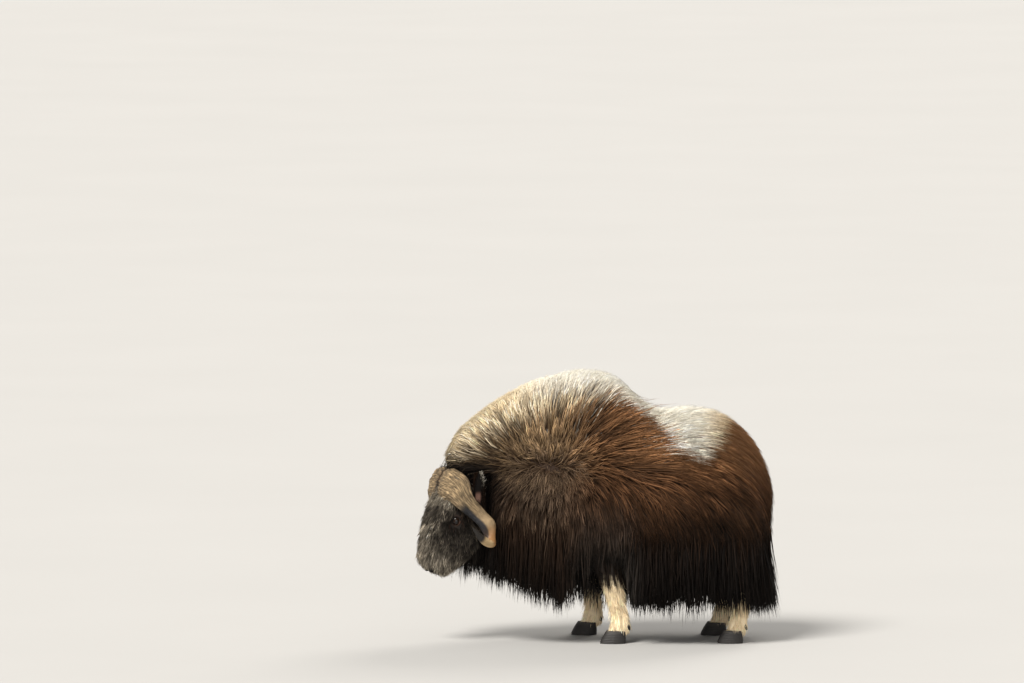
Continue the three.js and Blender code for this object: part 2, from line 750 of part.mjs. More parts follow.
function meshOf(name, solid, look) {
  const mesh = new THREE.Mesh(geometryOf(solid), new THREE.MeshStandardMaterial(finish[look]));
  mesh.name = name;
  return mesh;
}

const muskox = new THREE.Group();
const looks = { leg: "stocking", hoof: "hoof", neck: "coat", torso: "coat", tail: "coat" };
const lookOf = (name) => looks[name.split("_")[0]];
Object.entries(pieces).forEach(([name, solid]) => muskox.add(meshOf(name, solid, lookOf(name))));

const headGroup = new THREE.Group();
headGroup.position.copy(headPlace);
headGroup.quaternion.setFromRotationMatrix(headTurn);
headGroup.add(meshOf("head", headSolid, "face"));
Object.entries(hands).forEach(([word, hand]) => {
  headGroup.add(meshOf("horn_" + word, horns[word], "horn"));
  headGroup.add(meshOf("ear_" + word, ears[word], "face"));
  headGroup.add(meshOf("eye_" + word, eyeball(hand), "eye"));
});
muskox.add(headGroup);

// The origin goes under the middle of the model
const middle = new THREE.Box3().setFromObject(muskox, true).getCenter(vec(0, 0, 0));
muskox.position.set(-middle.x, -middle.y, 0);

export default muskox;
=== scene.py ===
"""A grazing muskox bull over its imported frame: skin, coat, head, horns and hooves.

Sizes are in metres in the animal's own frame: +Z up, nose towards -X, left side towards -Y.
The frame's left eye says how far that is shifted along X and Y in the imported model.
"""

from __future__ import annotations

import logging
import math
from collections.abc import Callable, Sequence
from dataclasses import dataclass, field
from enum import Enum

import bpy
import numpy as np
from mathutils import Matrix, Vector
from mathutils.kdtree import KDTree

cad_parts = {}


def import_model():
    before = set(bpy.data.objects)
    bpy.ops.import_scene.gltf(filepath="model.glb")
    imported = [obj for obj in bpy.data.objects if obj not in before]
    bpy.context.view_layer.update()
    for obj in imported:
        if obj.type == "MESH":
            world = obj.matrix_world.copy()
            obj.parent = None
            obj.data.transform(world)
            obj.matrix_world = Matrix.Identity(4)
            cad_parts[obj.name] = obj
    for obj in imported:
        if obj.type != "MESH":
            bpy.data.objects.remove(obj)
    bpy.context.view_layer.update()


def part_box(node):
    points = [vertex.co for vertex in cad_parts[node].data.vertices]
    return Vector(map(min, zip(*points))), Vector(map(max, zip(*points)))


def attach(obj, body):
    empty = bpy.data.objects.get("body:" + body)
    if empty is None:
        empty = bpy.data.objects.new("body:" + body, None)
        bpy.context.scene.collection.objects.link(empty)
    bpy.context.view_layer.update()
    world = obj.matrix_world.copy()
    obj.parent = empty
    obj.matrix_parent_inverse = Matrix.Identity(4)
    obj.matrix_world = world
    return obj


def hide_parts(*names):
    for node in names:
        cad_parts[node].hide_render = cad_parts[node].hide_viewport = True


log = logging.getLogger("muskox")

Array = np.ndarray
Colour = tuple[float, float, float]
BODY = "root"
TONE = "tone"
BAKE_MAP = "OFBake"
FIBRE_MAP = "fibre"
# Side of the patch that a tuft has on the map.
PATCH = 0.003
# The way that the rear of the left horn and the pale rim of the left ear face, in the head's frame; the
# horn's shaft is painted lit on that side and in painted shade on the other.
REARWARD = (-0.42, 0.44, -0.79)
MOST_TRIANGLES = 190_000
# Places tried for each root that is kept.
TRIES_EACH = 5
LEAST_TRIES = 160_000
TINY = 1e-12


class Hand(Enum):
    """The animal's left and right side, as the sign of y in the head's own frame."""

    LEFT = 1
    RIGHT = -1


@dataclass(frozen=True)
class Palette:
    """Colours of hair, horn and skin, as linear shares of red, green and blue."""

    cream: Colour = (0.96, 0.91, 0.79)
    beige: Colour = (0.90, 0.70, 0.42)
    wheat: Colour = (0.34, 0.225, 0.115)
    taupe: Colour = (0.155, 0.108, 0.074)
    golden: Colour = (0.34, 0.168, 0.074)
    brown: Colour = (0.170, 0.078, 0.035)
    umber: Colour = (0.032, 0.016, 0.008)
    black: Colour = (0.0052, 0.0036, 0.0028)
    slate: Colour = (0.045, 0.039, 0.034)
    ash: Colour = (0.150, 0.126, 0.096)
    grizzle: Colour = (0.460, 0.400, 0.310)
    white: Colour = (0.78, 0.74, 0.65)
    stocking: Colour = (0.92, 0.77, 0.54)
    bare: Colour = (0.085, 0.038, 0.022)
    pink: Colour = (0.34, 0.19, 0.14)
    tan: Colour = (0.275, 0.195, 0.108)
    # Painted shade with a painted bluish sky reflection, for the side of the horn's shaft away from the
    # light.
    horn_shade: Colour = (0.020, 0.020, 0.023)
    amber: Colour = (0.30, 0.150, 0.056)
    ivory: Colour = (0.50, 0.35, 0.18)
    horn_tip: Colour = (0.022, 0.018, 0.015)
    hoof: Colour = (0.012, 0.010, 0.009)
    eyeball: Colour = (0.016, 0.010, 0.007)
    iris: Colour = (0.020, 0.009, 0.004)
    pupil: Colour = (0.002, 0.002, 0.003)
    eye_back: Colour = (0.050, 0.035, 0.030)


PALETTE = Palette()


def smooth(low: float, high: float, value: Array) -> Array:
    """A smooth step of value from 0 at low to 1 at high, in either order of the two."""
    share = np.clip((value - low) / (high - low), 0.0, 1.0)
    return share * share * (3.0 - 2.0 * share)


def unit(vectors: Array) -> Array:
    """Vectors of length one."""
    return vectors / np.maximum(np.linalg.norm(vectors, axis=-1, keepdims=True), TINY)


def dot(a: Array, b: Array) -> Array:
    """Row by row dot product, kept as a last axis of one."""
    return np.sum(a * b, axis=-1, keepdims=True)


def square_to(axis: Array, way: Array) -> Array:
    """The part of a direction that lies square to an axis of length one, made length one."""
    return unit(way - axis * float(way @ axis))


def turn_of(v: Array) -> Array:
    """Angles as shares of a whole turn, with the top in the middle."""
    return (v / (2 * np.pi) + 0.5) % 1.0


def ring_angles(around: int) -> Array:
    """Angles of the points of a ring."""
    return 2.0 * np.pi * np.arange(around) / around


def hump_at(value: Array, middle: float, reach: float) -> Array:
    """A bell that is 1 at its middle and fades over its reach."""
    return np.exp(-(((value - middle) / reach) ** 2))


def blend(a: Array | Colour, b: Array | Colour, share: Array) -> Array:
    """Mixes colours or places a and b by a share for each row."""
    share = np.asarray(share)[..., None]
    return np.asarray(a) * (1.0 - share) + np.asarray(b) * share


def spline(points: Array, t: Array) -> Array:
    """A uniform Catmull-Rom curve.

    Args:
        points: The points that it passes, one to a row.
        t: Places along it, from 0 to 1.

    Returns:
        One point for each place.
    """
    spans = len(points) - 1
    place = np.clip(t, 0.0, 1.0) * spans
    start = np.minimum(place.astype(int), spans - 1)
    w = (place - start)[:, None]
    padded = np.vstack([2 * points[0] - points[1], points, 2 * points[-1] - points[-2]])
    p0, p1, p2, p3 = (padded[start + k] for k in range(4))
    ease = w * w * (3.0 - 2.0 * w)
    leave = w * (1.0 - w) ** 2
    arrive = w * w * (w - 1.0)
    return p1 * (1 - ease) + p2 * ease + 0.5 * ((p2 - p0) * leave + (p3 - p1) * arrive)


class Loft:
    """A smooth closed body: oval sections along a curve, rounded at both ends."""

    def __init__(
        self,
        centre: Sequence,
        up: Sequence,
        side: Sequence,
        ends: tuple[float, float] = (0.06, 0.06),
        belly: float = 0.0,
        power: float = 1.0,
    ) -> None:
        """Keeps the stations.

        Args:
            centre: Middle of each section.
            up: Half size of each section towards its top, as a vector.
            side: Half size towards its side, as a vector.
            ends: Share of the length that each end is rounded over.
            belly: How much fuller the lower half is.
            power: Exponent of the section; under 1 is squarer.
        """
        self.centre, self.up, self.side = (np.array(a, float) for a in (centre, up, side))
        self.ends, self.belly, self.power = ends, belly, power
        spans = len(self.centre) - 1
        steps = np.linalg.norm(np.diff(self.centre, axis=0), axis=1) * spans
        self.end_steps = (steps[0], steps[-1])

    @classmethod
    def of_stations(
        cls, middle: Sequence, tall: Array, wide: Array, tall_axis: int, **form: object
    ) -> Loft:
        """A body whose sections are square to the animal's own axes.

        Args:
            middle: The x, y and z of the stations.
            tall: Half the size of each section along the tall axis.
            wide: Half its size along y.
            tall_axis: 2 for a body that lies along x, 0 for one that stands.
            **form: The ends, the belly and the power of the sections.

        Returns:
            The body.
        """
        centre = np.column_stack(middle)
        up, side = np.zeros((2, *centre.shape))
        up[:, tall_axis], side[:, 1] = tall, wide
        return cls(centre, up, side, **form)

    def point(self, u: Array, v: Array, inset: Array | float = 0.0) -> Array:
        """Points of the surface.

        Args:
            u: Places along the body, from 0 to 1.
            v: Angles from its top.
            inset: How deep under the surface the points lie.

        Returns:
            One point for each place.
        """
        u, v = np.broadcast_arrays(np.asarray(u, float), np.asarray(v, float))
        inset = np.broadcast_to(np.asarray(inset, float), u.shape)
        inside = np.clip(u, 0.0, 1.0)
        share = np.minimum(1.0, np.minimum(inside / self.ends[0], (1 - inside) / self.ends[1]))
        fullness = np.sqrt(np.maximum(0.0, 1.0 - (1.0 - share) ** 2))[:, None]
        first, last = (inset / step for step in self.end_steps)
        t = np.clip(first + (1.0 - last - first) * u, 0.0, 1.0)
        up, side = spline(self.up, t), spline(self.side, t)
        tall = np.linalg.norm(up, axis=1, keepdims=True)
        wide = np.linalg.norm(side, axis=1, keepdims=True)
        sine, cosine = np.sin(v)[:, None], np.cos(v)[:, None]
        bulge = np.sign(sine) * np.abs(sine) ** self.power * (1.0 - self.belly * cosine)
        inset = inset[:, None]
        raised = up / tall * np.maximum(tall - inset, 0.0) * fullness * cosine
        spread = side / wide * np.maximum(wide - inset, 0.0) * fullness * bulge
        return spline(self.centre, t) + raised + spread

    def frame(self, u: Array, v: Array, inset: Array | float = 0.0) -> tuple[Array, ...]:
        """Points of the surface with the directions there.

        Args:
            u: Places along the body, from 0 to 1.
            v: Angles from its top.
            inset: How deep under the surface the points lie.

        Returns:
            The points, their tangents along u and v, and the outward normals.
        """
        small = 1e-3
        p = self.point(u, v, inset)
        du = (self.point(u + small, v, inset) - self.point(u - small, v, inset)) / (2 * small)
        dv = (self.point(u, v + small, inset) - self.point(u, v - small, inset)) / (2 * small)
        normal = unit(np.cross(du, dv))
        outward = p - spline(self.centre, np.clip(u, 0.0, 1.0))
        return p, du, dv, normal * np.where(dot(normal, outward) < 0, -1.0, 1.0)

    def grid(self, around: int, rings: int, inset: Array | float = 0.0) -> Solid:
        """The surface as a mesh of quads with a pole at either end.

        Args:
            around: How many points each ring has.
            rings: How many bands of faces there are along it.
            inset: How deep under the surface the points lie.

        Returns:
            The mesh, with u and v as its map.
        """
        u = (1.0 - np.cos(np.pi * np.arange(1, rings) / rings)) / 2.0
        v = ring_angles(around)
        uu, vv = (a.ravel() for a in np.meshgrid(u, v, indexing="ij"))
        poles = self.point(np.array([0.0, 1.0]), np.zeros(2), inset)
        places = np.vstack([self.point(uu, vv, inset), poles])
        solid = Solid.tube(places[:-2], around, rings - 1, places[-2:])
        solid.uv = np.column_stack([np.append(uu, [0, 1]), np.append(vv, [0, 0]) / (2 * np.pi)])
        return solid

    def sample(self, count: int, weight: Callable, rng: np.random.Generator) -> tuple[Array, Array]:
        """Places spread over the surface by area and a weight.

        Args:
            count: How many.
            weight: A function of points and angles that says how dense they are.
            rng: The source of random numbers.

        Returns:
            Their u and v.
        """
        tries = max(count * TRIES_EACH, LEAST_TRIES)
        u = rng.uniform(0.004, 0.996, tries)
        v = rng.uniform(-np.pi, np.pi, tries)
        p, du, dv, _ = self.frame(u, v)
        share = np.linalg.norm(np.cross(du, dv), axis=1) * weight(p, v)
        chosen = rng.choice(len(u), count, replace=False, p=share / share.sum())
        return u[chosen], v[chosen]


class HollowedLoft(Loft):
    """The outline of the coat, drawn in on the left, where the turned head lies against the neck."""

    hollow_depth = 0.13
    hollow_from_x = (-0.525, -0.605)
    hollow_from_z = (0.905, 0.83)
    hollow_from_y = (-0.08, -0.17)

    def point(self, u: Array, v: Array, inset: Array | float = 0.0) -> Array:
        """Points of the surface, moved in behind the head.

        Args:
            u: Places along the body, from 0 to 1.
            v: Angles from its top.
            inset: How deep under the surface the points lie.

        Returns:
            One point for each place.
        """
        p = super().point(u, v, inset)
        share = smooth(*self.hollow_from_x, p[:, 0]) * smooth(*self.hollow_from_z, p[:, 2])
        p[:, 1] += self.hollow_depth * share * smooth(*self.hollow_from_y, p[:, 1])
        return p


@dataclass
class Solid:
    """Vertices and faces of a piece while it is shaped, with a colour for each vertex."""

    points: Array
    faces: list[tuple[int, ...]]
    tone: Array | None = None
    uv: Array | None = None

    @staticmethod
    def bands(around: int, rings: int) -> list[tuple[int, ...]]:
        """Quads between closed rings of points.

        Args:
            around: How many points each ring has.
            rings: How many rings there are.

        Returns:
            The faces, ring by ring.
        """
        faces = []
        for low in range(0, (rings - 1) * around, around):
            high = low + around
            for i in range(around):
                j = (i + 1) % around
                faces.append((low + i, low + j, high + j, high + i))
        return faces

    @staticmethod
    def tube(ring_points: Array, around: int, rings: int, poles: Array) -> Solid:
        """Rings of points joined into a tube that is closed by a point at either end.

        Args:
            ring_points: The points, ring by ring.
            around: How many points each ring has.
            rings: How many rings there are.
            poles: The two closing points.

        Returns:
            The tube.
        """
        faces = Solid.bands(around, rings)
        first, last = len(ring_points), len(ring_points) + 1
        top = (rings - 1) * around
        for i in range(around):
            j = (i + 1) % around
            faces.append((first, j, i))
            faces.append((last, top + i, top + j))
        return Solid(np.vstack([ring_points, poles]), faces)

    def painted(self, colour: Array | Colour) -> Solid:
        """Gives every vertex a colour, or each its own."""
        self.tone = np.broadcast_to(np.asarray(colour, float), (len(self.points), 3)).copy()
        return self

    def moved(self, matrix: Array) -> Solid:
        """Turns and moves it by a 4 by 4 matrix.

        Args:
            matrix: The turn and the move.

        Returns:
            This solid.
        """
        self.points = self.points @ matrix[:3, :3].T + matrix[:3, 3]
        if np.linalg.det(matrix[:3, :3]) < 0:
            self.faces = [face[::-1] for face in self.faces]
        return self

    def facing(self, way: Array) -> Solid:
        """Turns all faces over where the first one looks away from a direction.

        Args:
            way: The direction that it should look in.

        Returns:
            This solid.
        """
        a, b, c = (self.points[self.faces[0][k]] for k in range(3))
        if np.cross(b - a, c - a) @ way < 0:
            self.faces = [face[::-1] for face in self.faces]
        return self

    def outward(self) -> Solid:
        """Turns its faces over where the whole would be inside out.

        Returns:
            This solid.
        """
        fans = [(f[0], f[k], f[k + 1]) for f in self.faces for k in range(1, len(f) - 1)]
        a, b, c = (self.points[[fan[k] for fan in fans]] for k in range(3))
        if np.sum(a * np.cross(b, c)) < 0:
            self.faces = [face[::-1] for face in self.faces]
        return self

    @staticmethod
    def joined(parts: Sequence[Solid]) -> Solid:
        """Several solids as one, with their colours and maps kept.

        Args:
            parts: The solids, all painted.

        Returns:
            The whole.
        """
        faces, start = [], 0
        for part in parts:
            faces += [tuple(i + start for i in face) for face in part.faces]
            start += len(part.points)
        whole = Solid(np.vstack([part.points for part in parts]), faces)
        whole.tone = np.vstack([part.tone for part in parts])
        if all(part.uv is not None for part in parts):
            whole.uv = np.vstack([part.uv for part in parts])
        return whole


@dataclass
class Place:
    """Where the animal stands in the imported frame."""

    shift: Array = field(default_factory=lambda: np.zeros(3))

    def make(self, name: str, solid: Solid, material: bpy.types.Material) -> bpy.types.Object:
        """Makes a smooth piece in the scene out of a solid.

        Args:
            name: The piece's name.
            solid: Its shape in the animal's frame.
            material: Its finish.

        Returns:
            The new object.
        """
        mesh = bpy.data.meshes.new(name)
        mesh.from_pydata((solid.points + self.shift).tolist(), [], solid.faces)
        mesh.polygons.foreach_set("use_smooth", np.ones(len(mesh.polygons), bool))
        if solid.tone is not None:
            paint(mesh, solid.tone)
        if solid.uv is not None:
            corners = np.empty(len(mesh.loops), int)
            mesh.loops.foreach_get("vertex_index", corners)
            layer = mesh.uv_layers.new(name=FIBRE_MAP)
            layer.data.foreach_set("uv", solid.uv[corners].astype(np.float32).ravel())
        return self.show(name, mesh, material)

    def show(self, name: str, mesh: bpy.types.Mesh, material: bpy.types.Material) -> bpy.types.Object:
        """Links a mesh to the scene as a piece that rides on the body.

        Args:
            name: The piece's name.
            mesh: Its mesh.
            material: Its finish.

        Returns:
            The new object.
        """
        mesh.materials.clear()
        mesh.materials.append(material)
        piece = bpy.data.objects.new(name, mesh)
        bpy.context.scene.collection.objects.link(piece)
        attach(piece, BODY)
        log.info("%s: %d faces", name, len(mesh.polygons))
        return piece


def paint(mesh: bpy.types.Mesh, tone: Array) -> None:
    """Stores a colour for each vertex of a mesh.

    Args:
        mesh: The mesh.
        tone: One colour for each vertex.
    """
    layer = mesh.color_attributes.new(TONE, "FLOAT_COLOR", "POINT")
    rgba = np.column_stack([np.clip(tone, 0.0, 1.0), np.ones(len(tone))])
    layer.data.foreach_set("color", rgba.astype(np.float32).ravel())


@dataclass
class Strands:
    """Tufts of hair: spines with a width, colours at root and tip, and a place on the unwrap."""

    spines: Array
    normals: Array
    width: Array
    root_tone: Array
    tip_tone: Array
    place: Array
    flatness: float = 0.45
    taper: float = 0.75
    fade: float = 1.25

    def clumped(
        self, per_clump: int, pull: Array | float, vary: float, rng: np.random.Generator
    ) -> Strands:
        """Draws the tips of neighbours together into locks that differ in brightness.

        Args:
            per_clump: How many tufts share a lock.
            pull: How close their tips come, from 0 to 1, for all or each.
            vary: How much the brightness of locks and tufts differs.
            rng: The source of random numbers.

        Returns:
            These strands, changed.
        """
        count, steps = self.spines.shape[:2]
        guides = rng.choice(count, max(count // per_clump, 1), replace=False)
        tree = KDTree(len(guides))
        for k, g in enumerate(guides):
            tree.insert(Vector(self.spines[g, 0]), k)
        tree.balance()
        found = [tree.find(Vector(root)) for root in self.spines[:, 0]]
        nearest = np.array([hit[1] for hit in found])
        close = smooth(0.09, 0.04, np.array([hit[2] for hit in found]))
        guide = self.spines[guides[nearest]]
        reach = np.linalg.norm(self.spines[:, -1] - self.spines[:, 0], axis=1)
        span = np.linalg.norm(guide[:, -1] - guide[:, 0], axis=1)
        ratio = np.minimum(1.0, reach / np.maximum(span, 1e-6))[:, None, None]
        goal = guide[:, :1] + (guide - guide[:, :1]) * ratio
        along = (np.arange(steps) / (steps - 1))[None, :, None]
        share = (np.broadcast_to(pull, count) * close)[:, None, None] * along**1.1
        self.spines = self.spines * (1 - share) + goal * share
        bright = rng.normal(0.0, vary, len(guides))[nearest] + rng.normal(0.0, vary * 0.8, count)
        bright = np.exp(bright)[:, None]
        self.root_tone = self.root_tone * np.sqrt(bright)
        self.tip_tone = self.tip_tone * bright
        return self

    def waved(self, height: Array | float, turns: float, rng: np.random.Generator) -> Strands:
        """Bends every tuft from side to side, more towards its tip.

        Args:
            height: How far it bends, for all or each.
            turns: How many waves it has.
            rng: The source of random numbers.

        Returns:
            These strands, changed.
        """
        count, steps = self.spines.shape[:2]
        along = np.arange(steps) / (steps - 1)
        across = unit(np.cross(self.spines[:, -1] - self.spines[:, 0], self.normals[:, 0]))
        start = rng.uniform(0, 2 * np.pi, (count, 1))
        bend = np.sin(start + turns * 2 * np.pi * along[None]) - np.sin(start)
        size = np.broadcast_to(height, count)[:, None] * rng.uniform(0.4, 1.3, (count, 1)) * along[None]
        self.spines = self.spines + (bend * size)[..., None] * across[:, None]
        return self

    def kept(self, chosen: Array) -> Strands:
        """Only the chosen tufts."""
        parts = (self.spines, self.normals, self.width, self.root_tone, self.tip_tone, self.place)
        return Strands(*(part[chosen] for part in parts), self.flatness, self.taper, self.fade)

    def moved(self, matrix: Array) -> Strands:
        """Turns and moves the tufts by a 4 by 4 matrix.

        Args:
            matrix: The turn and the move.

        Returns:
            These strands, changed.
        """
        self.spines = self.spines @ matrix[:3, :3].T + matrix[:3, 3]
        self.normals = self.normals @ matrix[:3, :3].T
        return self

    def mesh(self, name: str, shift: Array) -> bpy.types.Mesh:
        """Builds the tufts as three-sided tapering blades.

        Args:
            name: The mesh's name.
            shift: What is added to every point.

        Returns:
            A mesh with colours and the map for baking.
        """
        count, steps = self.spines.shape[:2]
        bands = steps - 1
        along = unit(np.gradient(self.spines, axis=1))
        across = unit(np.cross(along[:, :1], self.normals[:, :1]))
        side = unit(across - dot(across, along) * along)
        out = np.cross(side, along)
        left = 1.0 - np.arange(bands) / bands
        wide = self.width[:, None] * left[None] ** self.taper
        rings = []
        for k in range(3):
            angle = 2 * np.pi * k / 3
            rings.append(
                self.spines[:, :bands]
                + side[:, :bands] * (wide * math.sin(angle))[..., None]
                + out[:, :bands] * (wide * self.flatness * math.cos(angle))[..., None]
            )
        body = np.stack(rings, axis=2).reshape(count, bands * 3, 3)
        points = np.concatenate([body, self.spines[:, -1:]], axis=1)
        size = bands * 3 + 1
        faces, cells = self._blade(bands)
        pattern = np.array([i for face in faces for i in face])
        corners = (np.arange(count)[:, None] * size + pattern[None]).ravel()
        totals = np.tile([len(face) for face in faces], count)
        mesh = bpy.data.meshes.new(name)
        mesh.vertices.add(count * size)
        mesh.vertices.foreach_set("co", (points + shift).astype(np.float32).ravel())
        mesh.loops.add(len(corners))
        mesh.loops.foreach_set("vertex_index", corners.astype(np.int32))
        mesh.polygons.add(len(totals))
        starts = np.concatenate([[0], np.cumsum(totals)[:-1]])
        mesh.polygons.foreach_set("loop_start", starts.astype(np.int32))
        mesh.polygons.foreach_set("use_smooth", np.ones(len(totals), bool))
        mesh.update(calc_edges=True)
        share = np.append(np.repeat(np.arange(bands) / bands, 3), 1.0) ** self.fade
        tone = self.root_tone[:, None] * (1 - share[None, :, None])
        tone = tone + self.tip_tone[:, None] * share[None, :, None]
        paint(mesh, tone.reshape(-1, 3))
        layer = mesh.uv_layers.new(name=BAKE_MAP)
        uv = self.place[:, None] + cells[None] * PATCH
        layer.data.foreach_set("uv", uv.astype(np.float32).ravel())
        return mesh

    @staticmethod
    def _blade(bands: int) -> tuple[list, Array]:
        """The faces of one tuft, and where their corners lie in its own patch of the map.

        Args:
            bands: How many bands it has; the last one ends in the tip.

        Returns:
            The corners of each face, and a place for each corner from 0 to 1 both ways.
        """
        faces, cells = [], []
        for n in range(3 * bands):
            k, i = divmod(n, 3)
            a, b, above = n, 3 * k + (i + 1) % 3, 3 * k + 3
            low, high = k / bands, (k + 1) / bands
            cells += [(i / 3, low), ((i + 1) / 3, low)]
            if k < bands - 1:
                faces.append((a, b, b + 3, a + 3))
                cells += [((i + 1) / 3, high), (i / 3, high)]
            else:
                faces.append((a, b, above))
                cells.append(((i + 0.5) / 3, 1.0))
        return faces, np.array(cells)

    def pieces(self, name: str, place: Place, material: bpy.types.Material) -> list:
        """Shows the tufts as pieces of a bounded size, cut across the length of the animal.

        Args:
            name: The pieces' name, which gets a number where there are several.
            place: Where the animal stands.
            material: Their finish.

        Returns:
            The pieces.
        """
        per_tuft = (self.spines.shape[1] - 2) * 6 + 3
        most = MOST_TRIANGLES // per_tuft
        order = np.argsort(self.spines[:, 0, 0], kind="stable")
        parts = np.array_split(order, math.ceil(len(order) / most))
        made = []
        for k, part in enumerate(parts):
            label = f"{name}_{k + 1}" if len(parts) > 1 else name
            chosen = self.kept(part)
            made.append(place.show(label, chosen.mesh(label, place.shift), material))
        return made


@dataclass(frozen=True)
class Hair:
    """One kind of hair: how many tufts, how wide, how they clump, differ and wave."""

    count: int
    steps: int
    width: float
    clump: int
    pull: float
    vary: float
    wave: float = 0.0
    turns: float = 1.1
    spread: tuple[float, float] = (0.7, 1.2)
    taper: float = 0.75
    fade: float = 1.25

    def tufts(
        self, grown: tuple, tones: tuple, place: Array, rng: np.random.Generator, **own: Array
    ) -> Strands:
        """Makes tufts out of grown spines.

        Args:
            grown: The spines and their normals.
            tones: The colours at the roots and at the tips.
            place: Where each lies on the unwrap of the skin.
            rng: The source of random numbers.
            **own: A width, pull or wave for each tuft, where they differ.

        Returns:
            The tufts.
        """
        width, pull, wave = (own.get(key, getattr(self, key)) for key in ("width", "pull", "wave"))
        width = width * rng.uniform(*self.spread, len(place))
        strands = Strands(*grown, width, *tones, place, taper=self.taper, fade=self.fade)
        return strands.clumped(self.clump, pull, self.vary, rng).waved(wave, self.turns, rng)


@dataclass(frozen=True)
class Lay:
    """How the tufts of one area grow: their lie, their steps and how deep they start."""

    flow: Callable
    root_inset: float
    tip_inset: Array | float
    steps: int = 5
    turning: float = 0.4
    stray: float = 0.12
    hang_slope: float = -0.22
    fall: Colour = (0.0, 0.0, -1.0)
    swing: Array | float = 0.0
    push: Array | float = 0.0
    end_share: float = 0.025


def grow(loft: Loft, u: Array, v: Array, length: Array, lay: Lay, rng: np.random.Generator) -> tuple:
    """Grows spines over a body: they follow the lie and hang where the body turns under.

    Args:
        loft: The body that they grow on.
        u: Their roots' places along it.
        v: Their roots' angles.
        length: The length of each.
        lay: How they lie.
        rng: The source of random numbers.

    Returns:
        The points of the spines and the normals at them, each as (tuft, step, xyz).
    """
    u, v = u.copy(), v.copy()
    count = len(u)
    stride = (length / lay.steps)[:, None]
    hanging = np.zeros(count, bool)
    turn = rng.normal(0.0, lay.stray, (count, 1))
    drop = unit(np.array(lay.fall) + rng.normal(0.0, 0.05, (count, 3)))
    tip = lay.tip_inset + rng.normal(0.0, 0.006, count)
    spines, normals, steady = [], [], None
    for k in range(lay.steps + 1):
        inset = lay.root_inset + (tip - lay.root_inset) * (k / lay.steps) ** 0.8
        p, du, dv, normal = loft.frame(u, v, inset)
        if k:
            hang = hanging[:, None]
            swing = unit(normals[-1] * (1, 1, 0)) * np.broadcast_to(lay.swing, count)[:, None]
            out = normals[-1] * (lay.push * (risen - inset))[:, None]
            p = np.where(hang, spines[-1] + unit(drop + swing) * stride + out, p)
            normal = np.where(hang, normals[-1], normal)
        risen = inset
        spines.append(p)
        normals.append(normal)
        if k:
            hanging |= (normal[:, 2] < lay.hang_slope) | (np.abs(u - 0.5) > 0.5 - lay.end_share)
        lie = lay.flow(p)
        lie = lie * np.cos(turn) + np.cross(normal, lie) * np.sin(turn)
        steady = lie if steady is None else steady + (lie - steady) * lay.turning
        way = unit(steady - dot(steady, normal) * normal) * stride
        a, b, c = dot(du, du)[:, 0], dot(du, dv)[:, 0], dot(dv, dv)[:, 0]
        e, f = dot(du, way)[:, 0], dot(dv, way)[:, 0]
        det = a * c - b * b
        det = np.where(np.abs(det) < TINY, TINY, det)
        u = np.clip(u + (e * c - f * b) / det, 0.003, 0.997)
        v = v + np.clip((a * f - b * e) / det, -0.6, 0.6)
    return np.stack(spines, axis=1), np.stack(normals, axis=1)


class Link:
    """A node's output, with Python's operators for shader maths."""

    def __init__(self, tree: bpy.types.NodeTree, socket: bpy.types.NodeSocket) -> None:
        """Keeps the socket and the tree that it is in."""
        self.tree, self.socket = tree, socket

    def _math(self, operation: str, first: object, second: object) -> Link:
        """Adds a Math node for an operation on two values.

        Args:
            operation: What the node does.
            first: A value or an output.
            second: Another.

        Returns:
            The result.
        """
        node = self.tree.nodes.new("ShaderNodeMath")
        node.operation = operation
        for socket, value in zip(node.inputs, (first, second)):
            plug(self.tree, socket, value)
        return Link(self.tree, node.outputs[0])

    def __add__(self, other: object) -> Link:
        """This plus another value."""
        return self._math("ADD", self, other)

    def __radd__(self, other: object) -> Link:
        """Another value plus this."""
        return self._math("ADD", other, self)

    def __sub__(self, other: object) -> Link:
        """This minus another value."""
        return self._math("SUBTRACT", self, other)

    def __rsub__(self, other: object) -> Link:
        """Another value minus this."""
        return self._math("SUBTRACT", other, self)

    def __mul__(self, other: object) -> Link:
        """This times another value."""
        return self._math("MULTIPLY", self, other)

    def __rmul__(self, other: object) -> Link:
        """Another value times this."""
        return self._math("MULTIPLY", other, self)


def plug(tree: bpy.types.NodeTree, socket: bpy.types.NodeSocket, value: object) -> None:
    """Links a value into a socket, or sets it there.

    Args:
        tree: The tree that both are in.
        socket: The socket.
        value: An output or a plain value.
    """
    if isinstance(value, Link):
        tree.links.new(value.socket, socket)
    else:
        socket.default_value = value


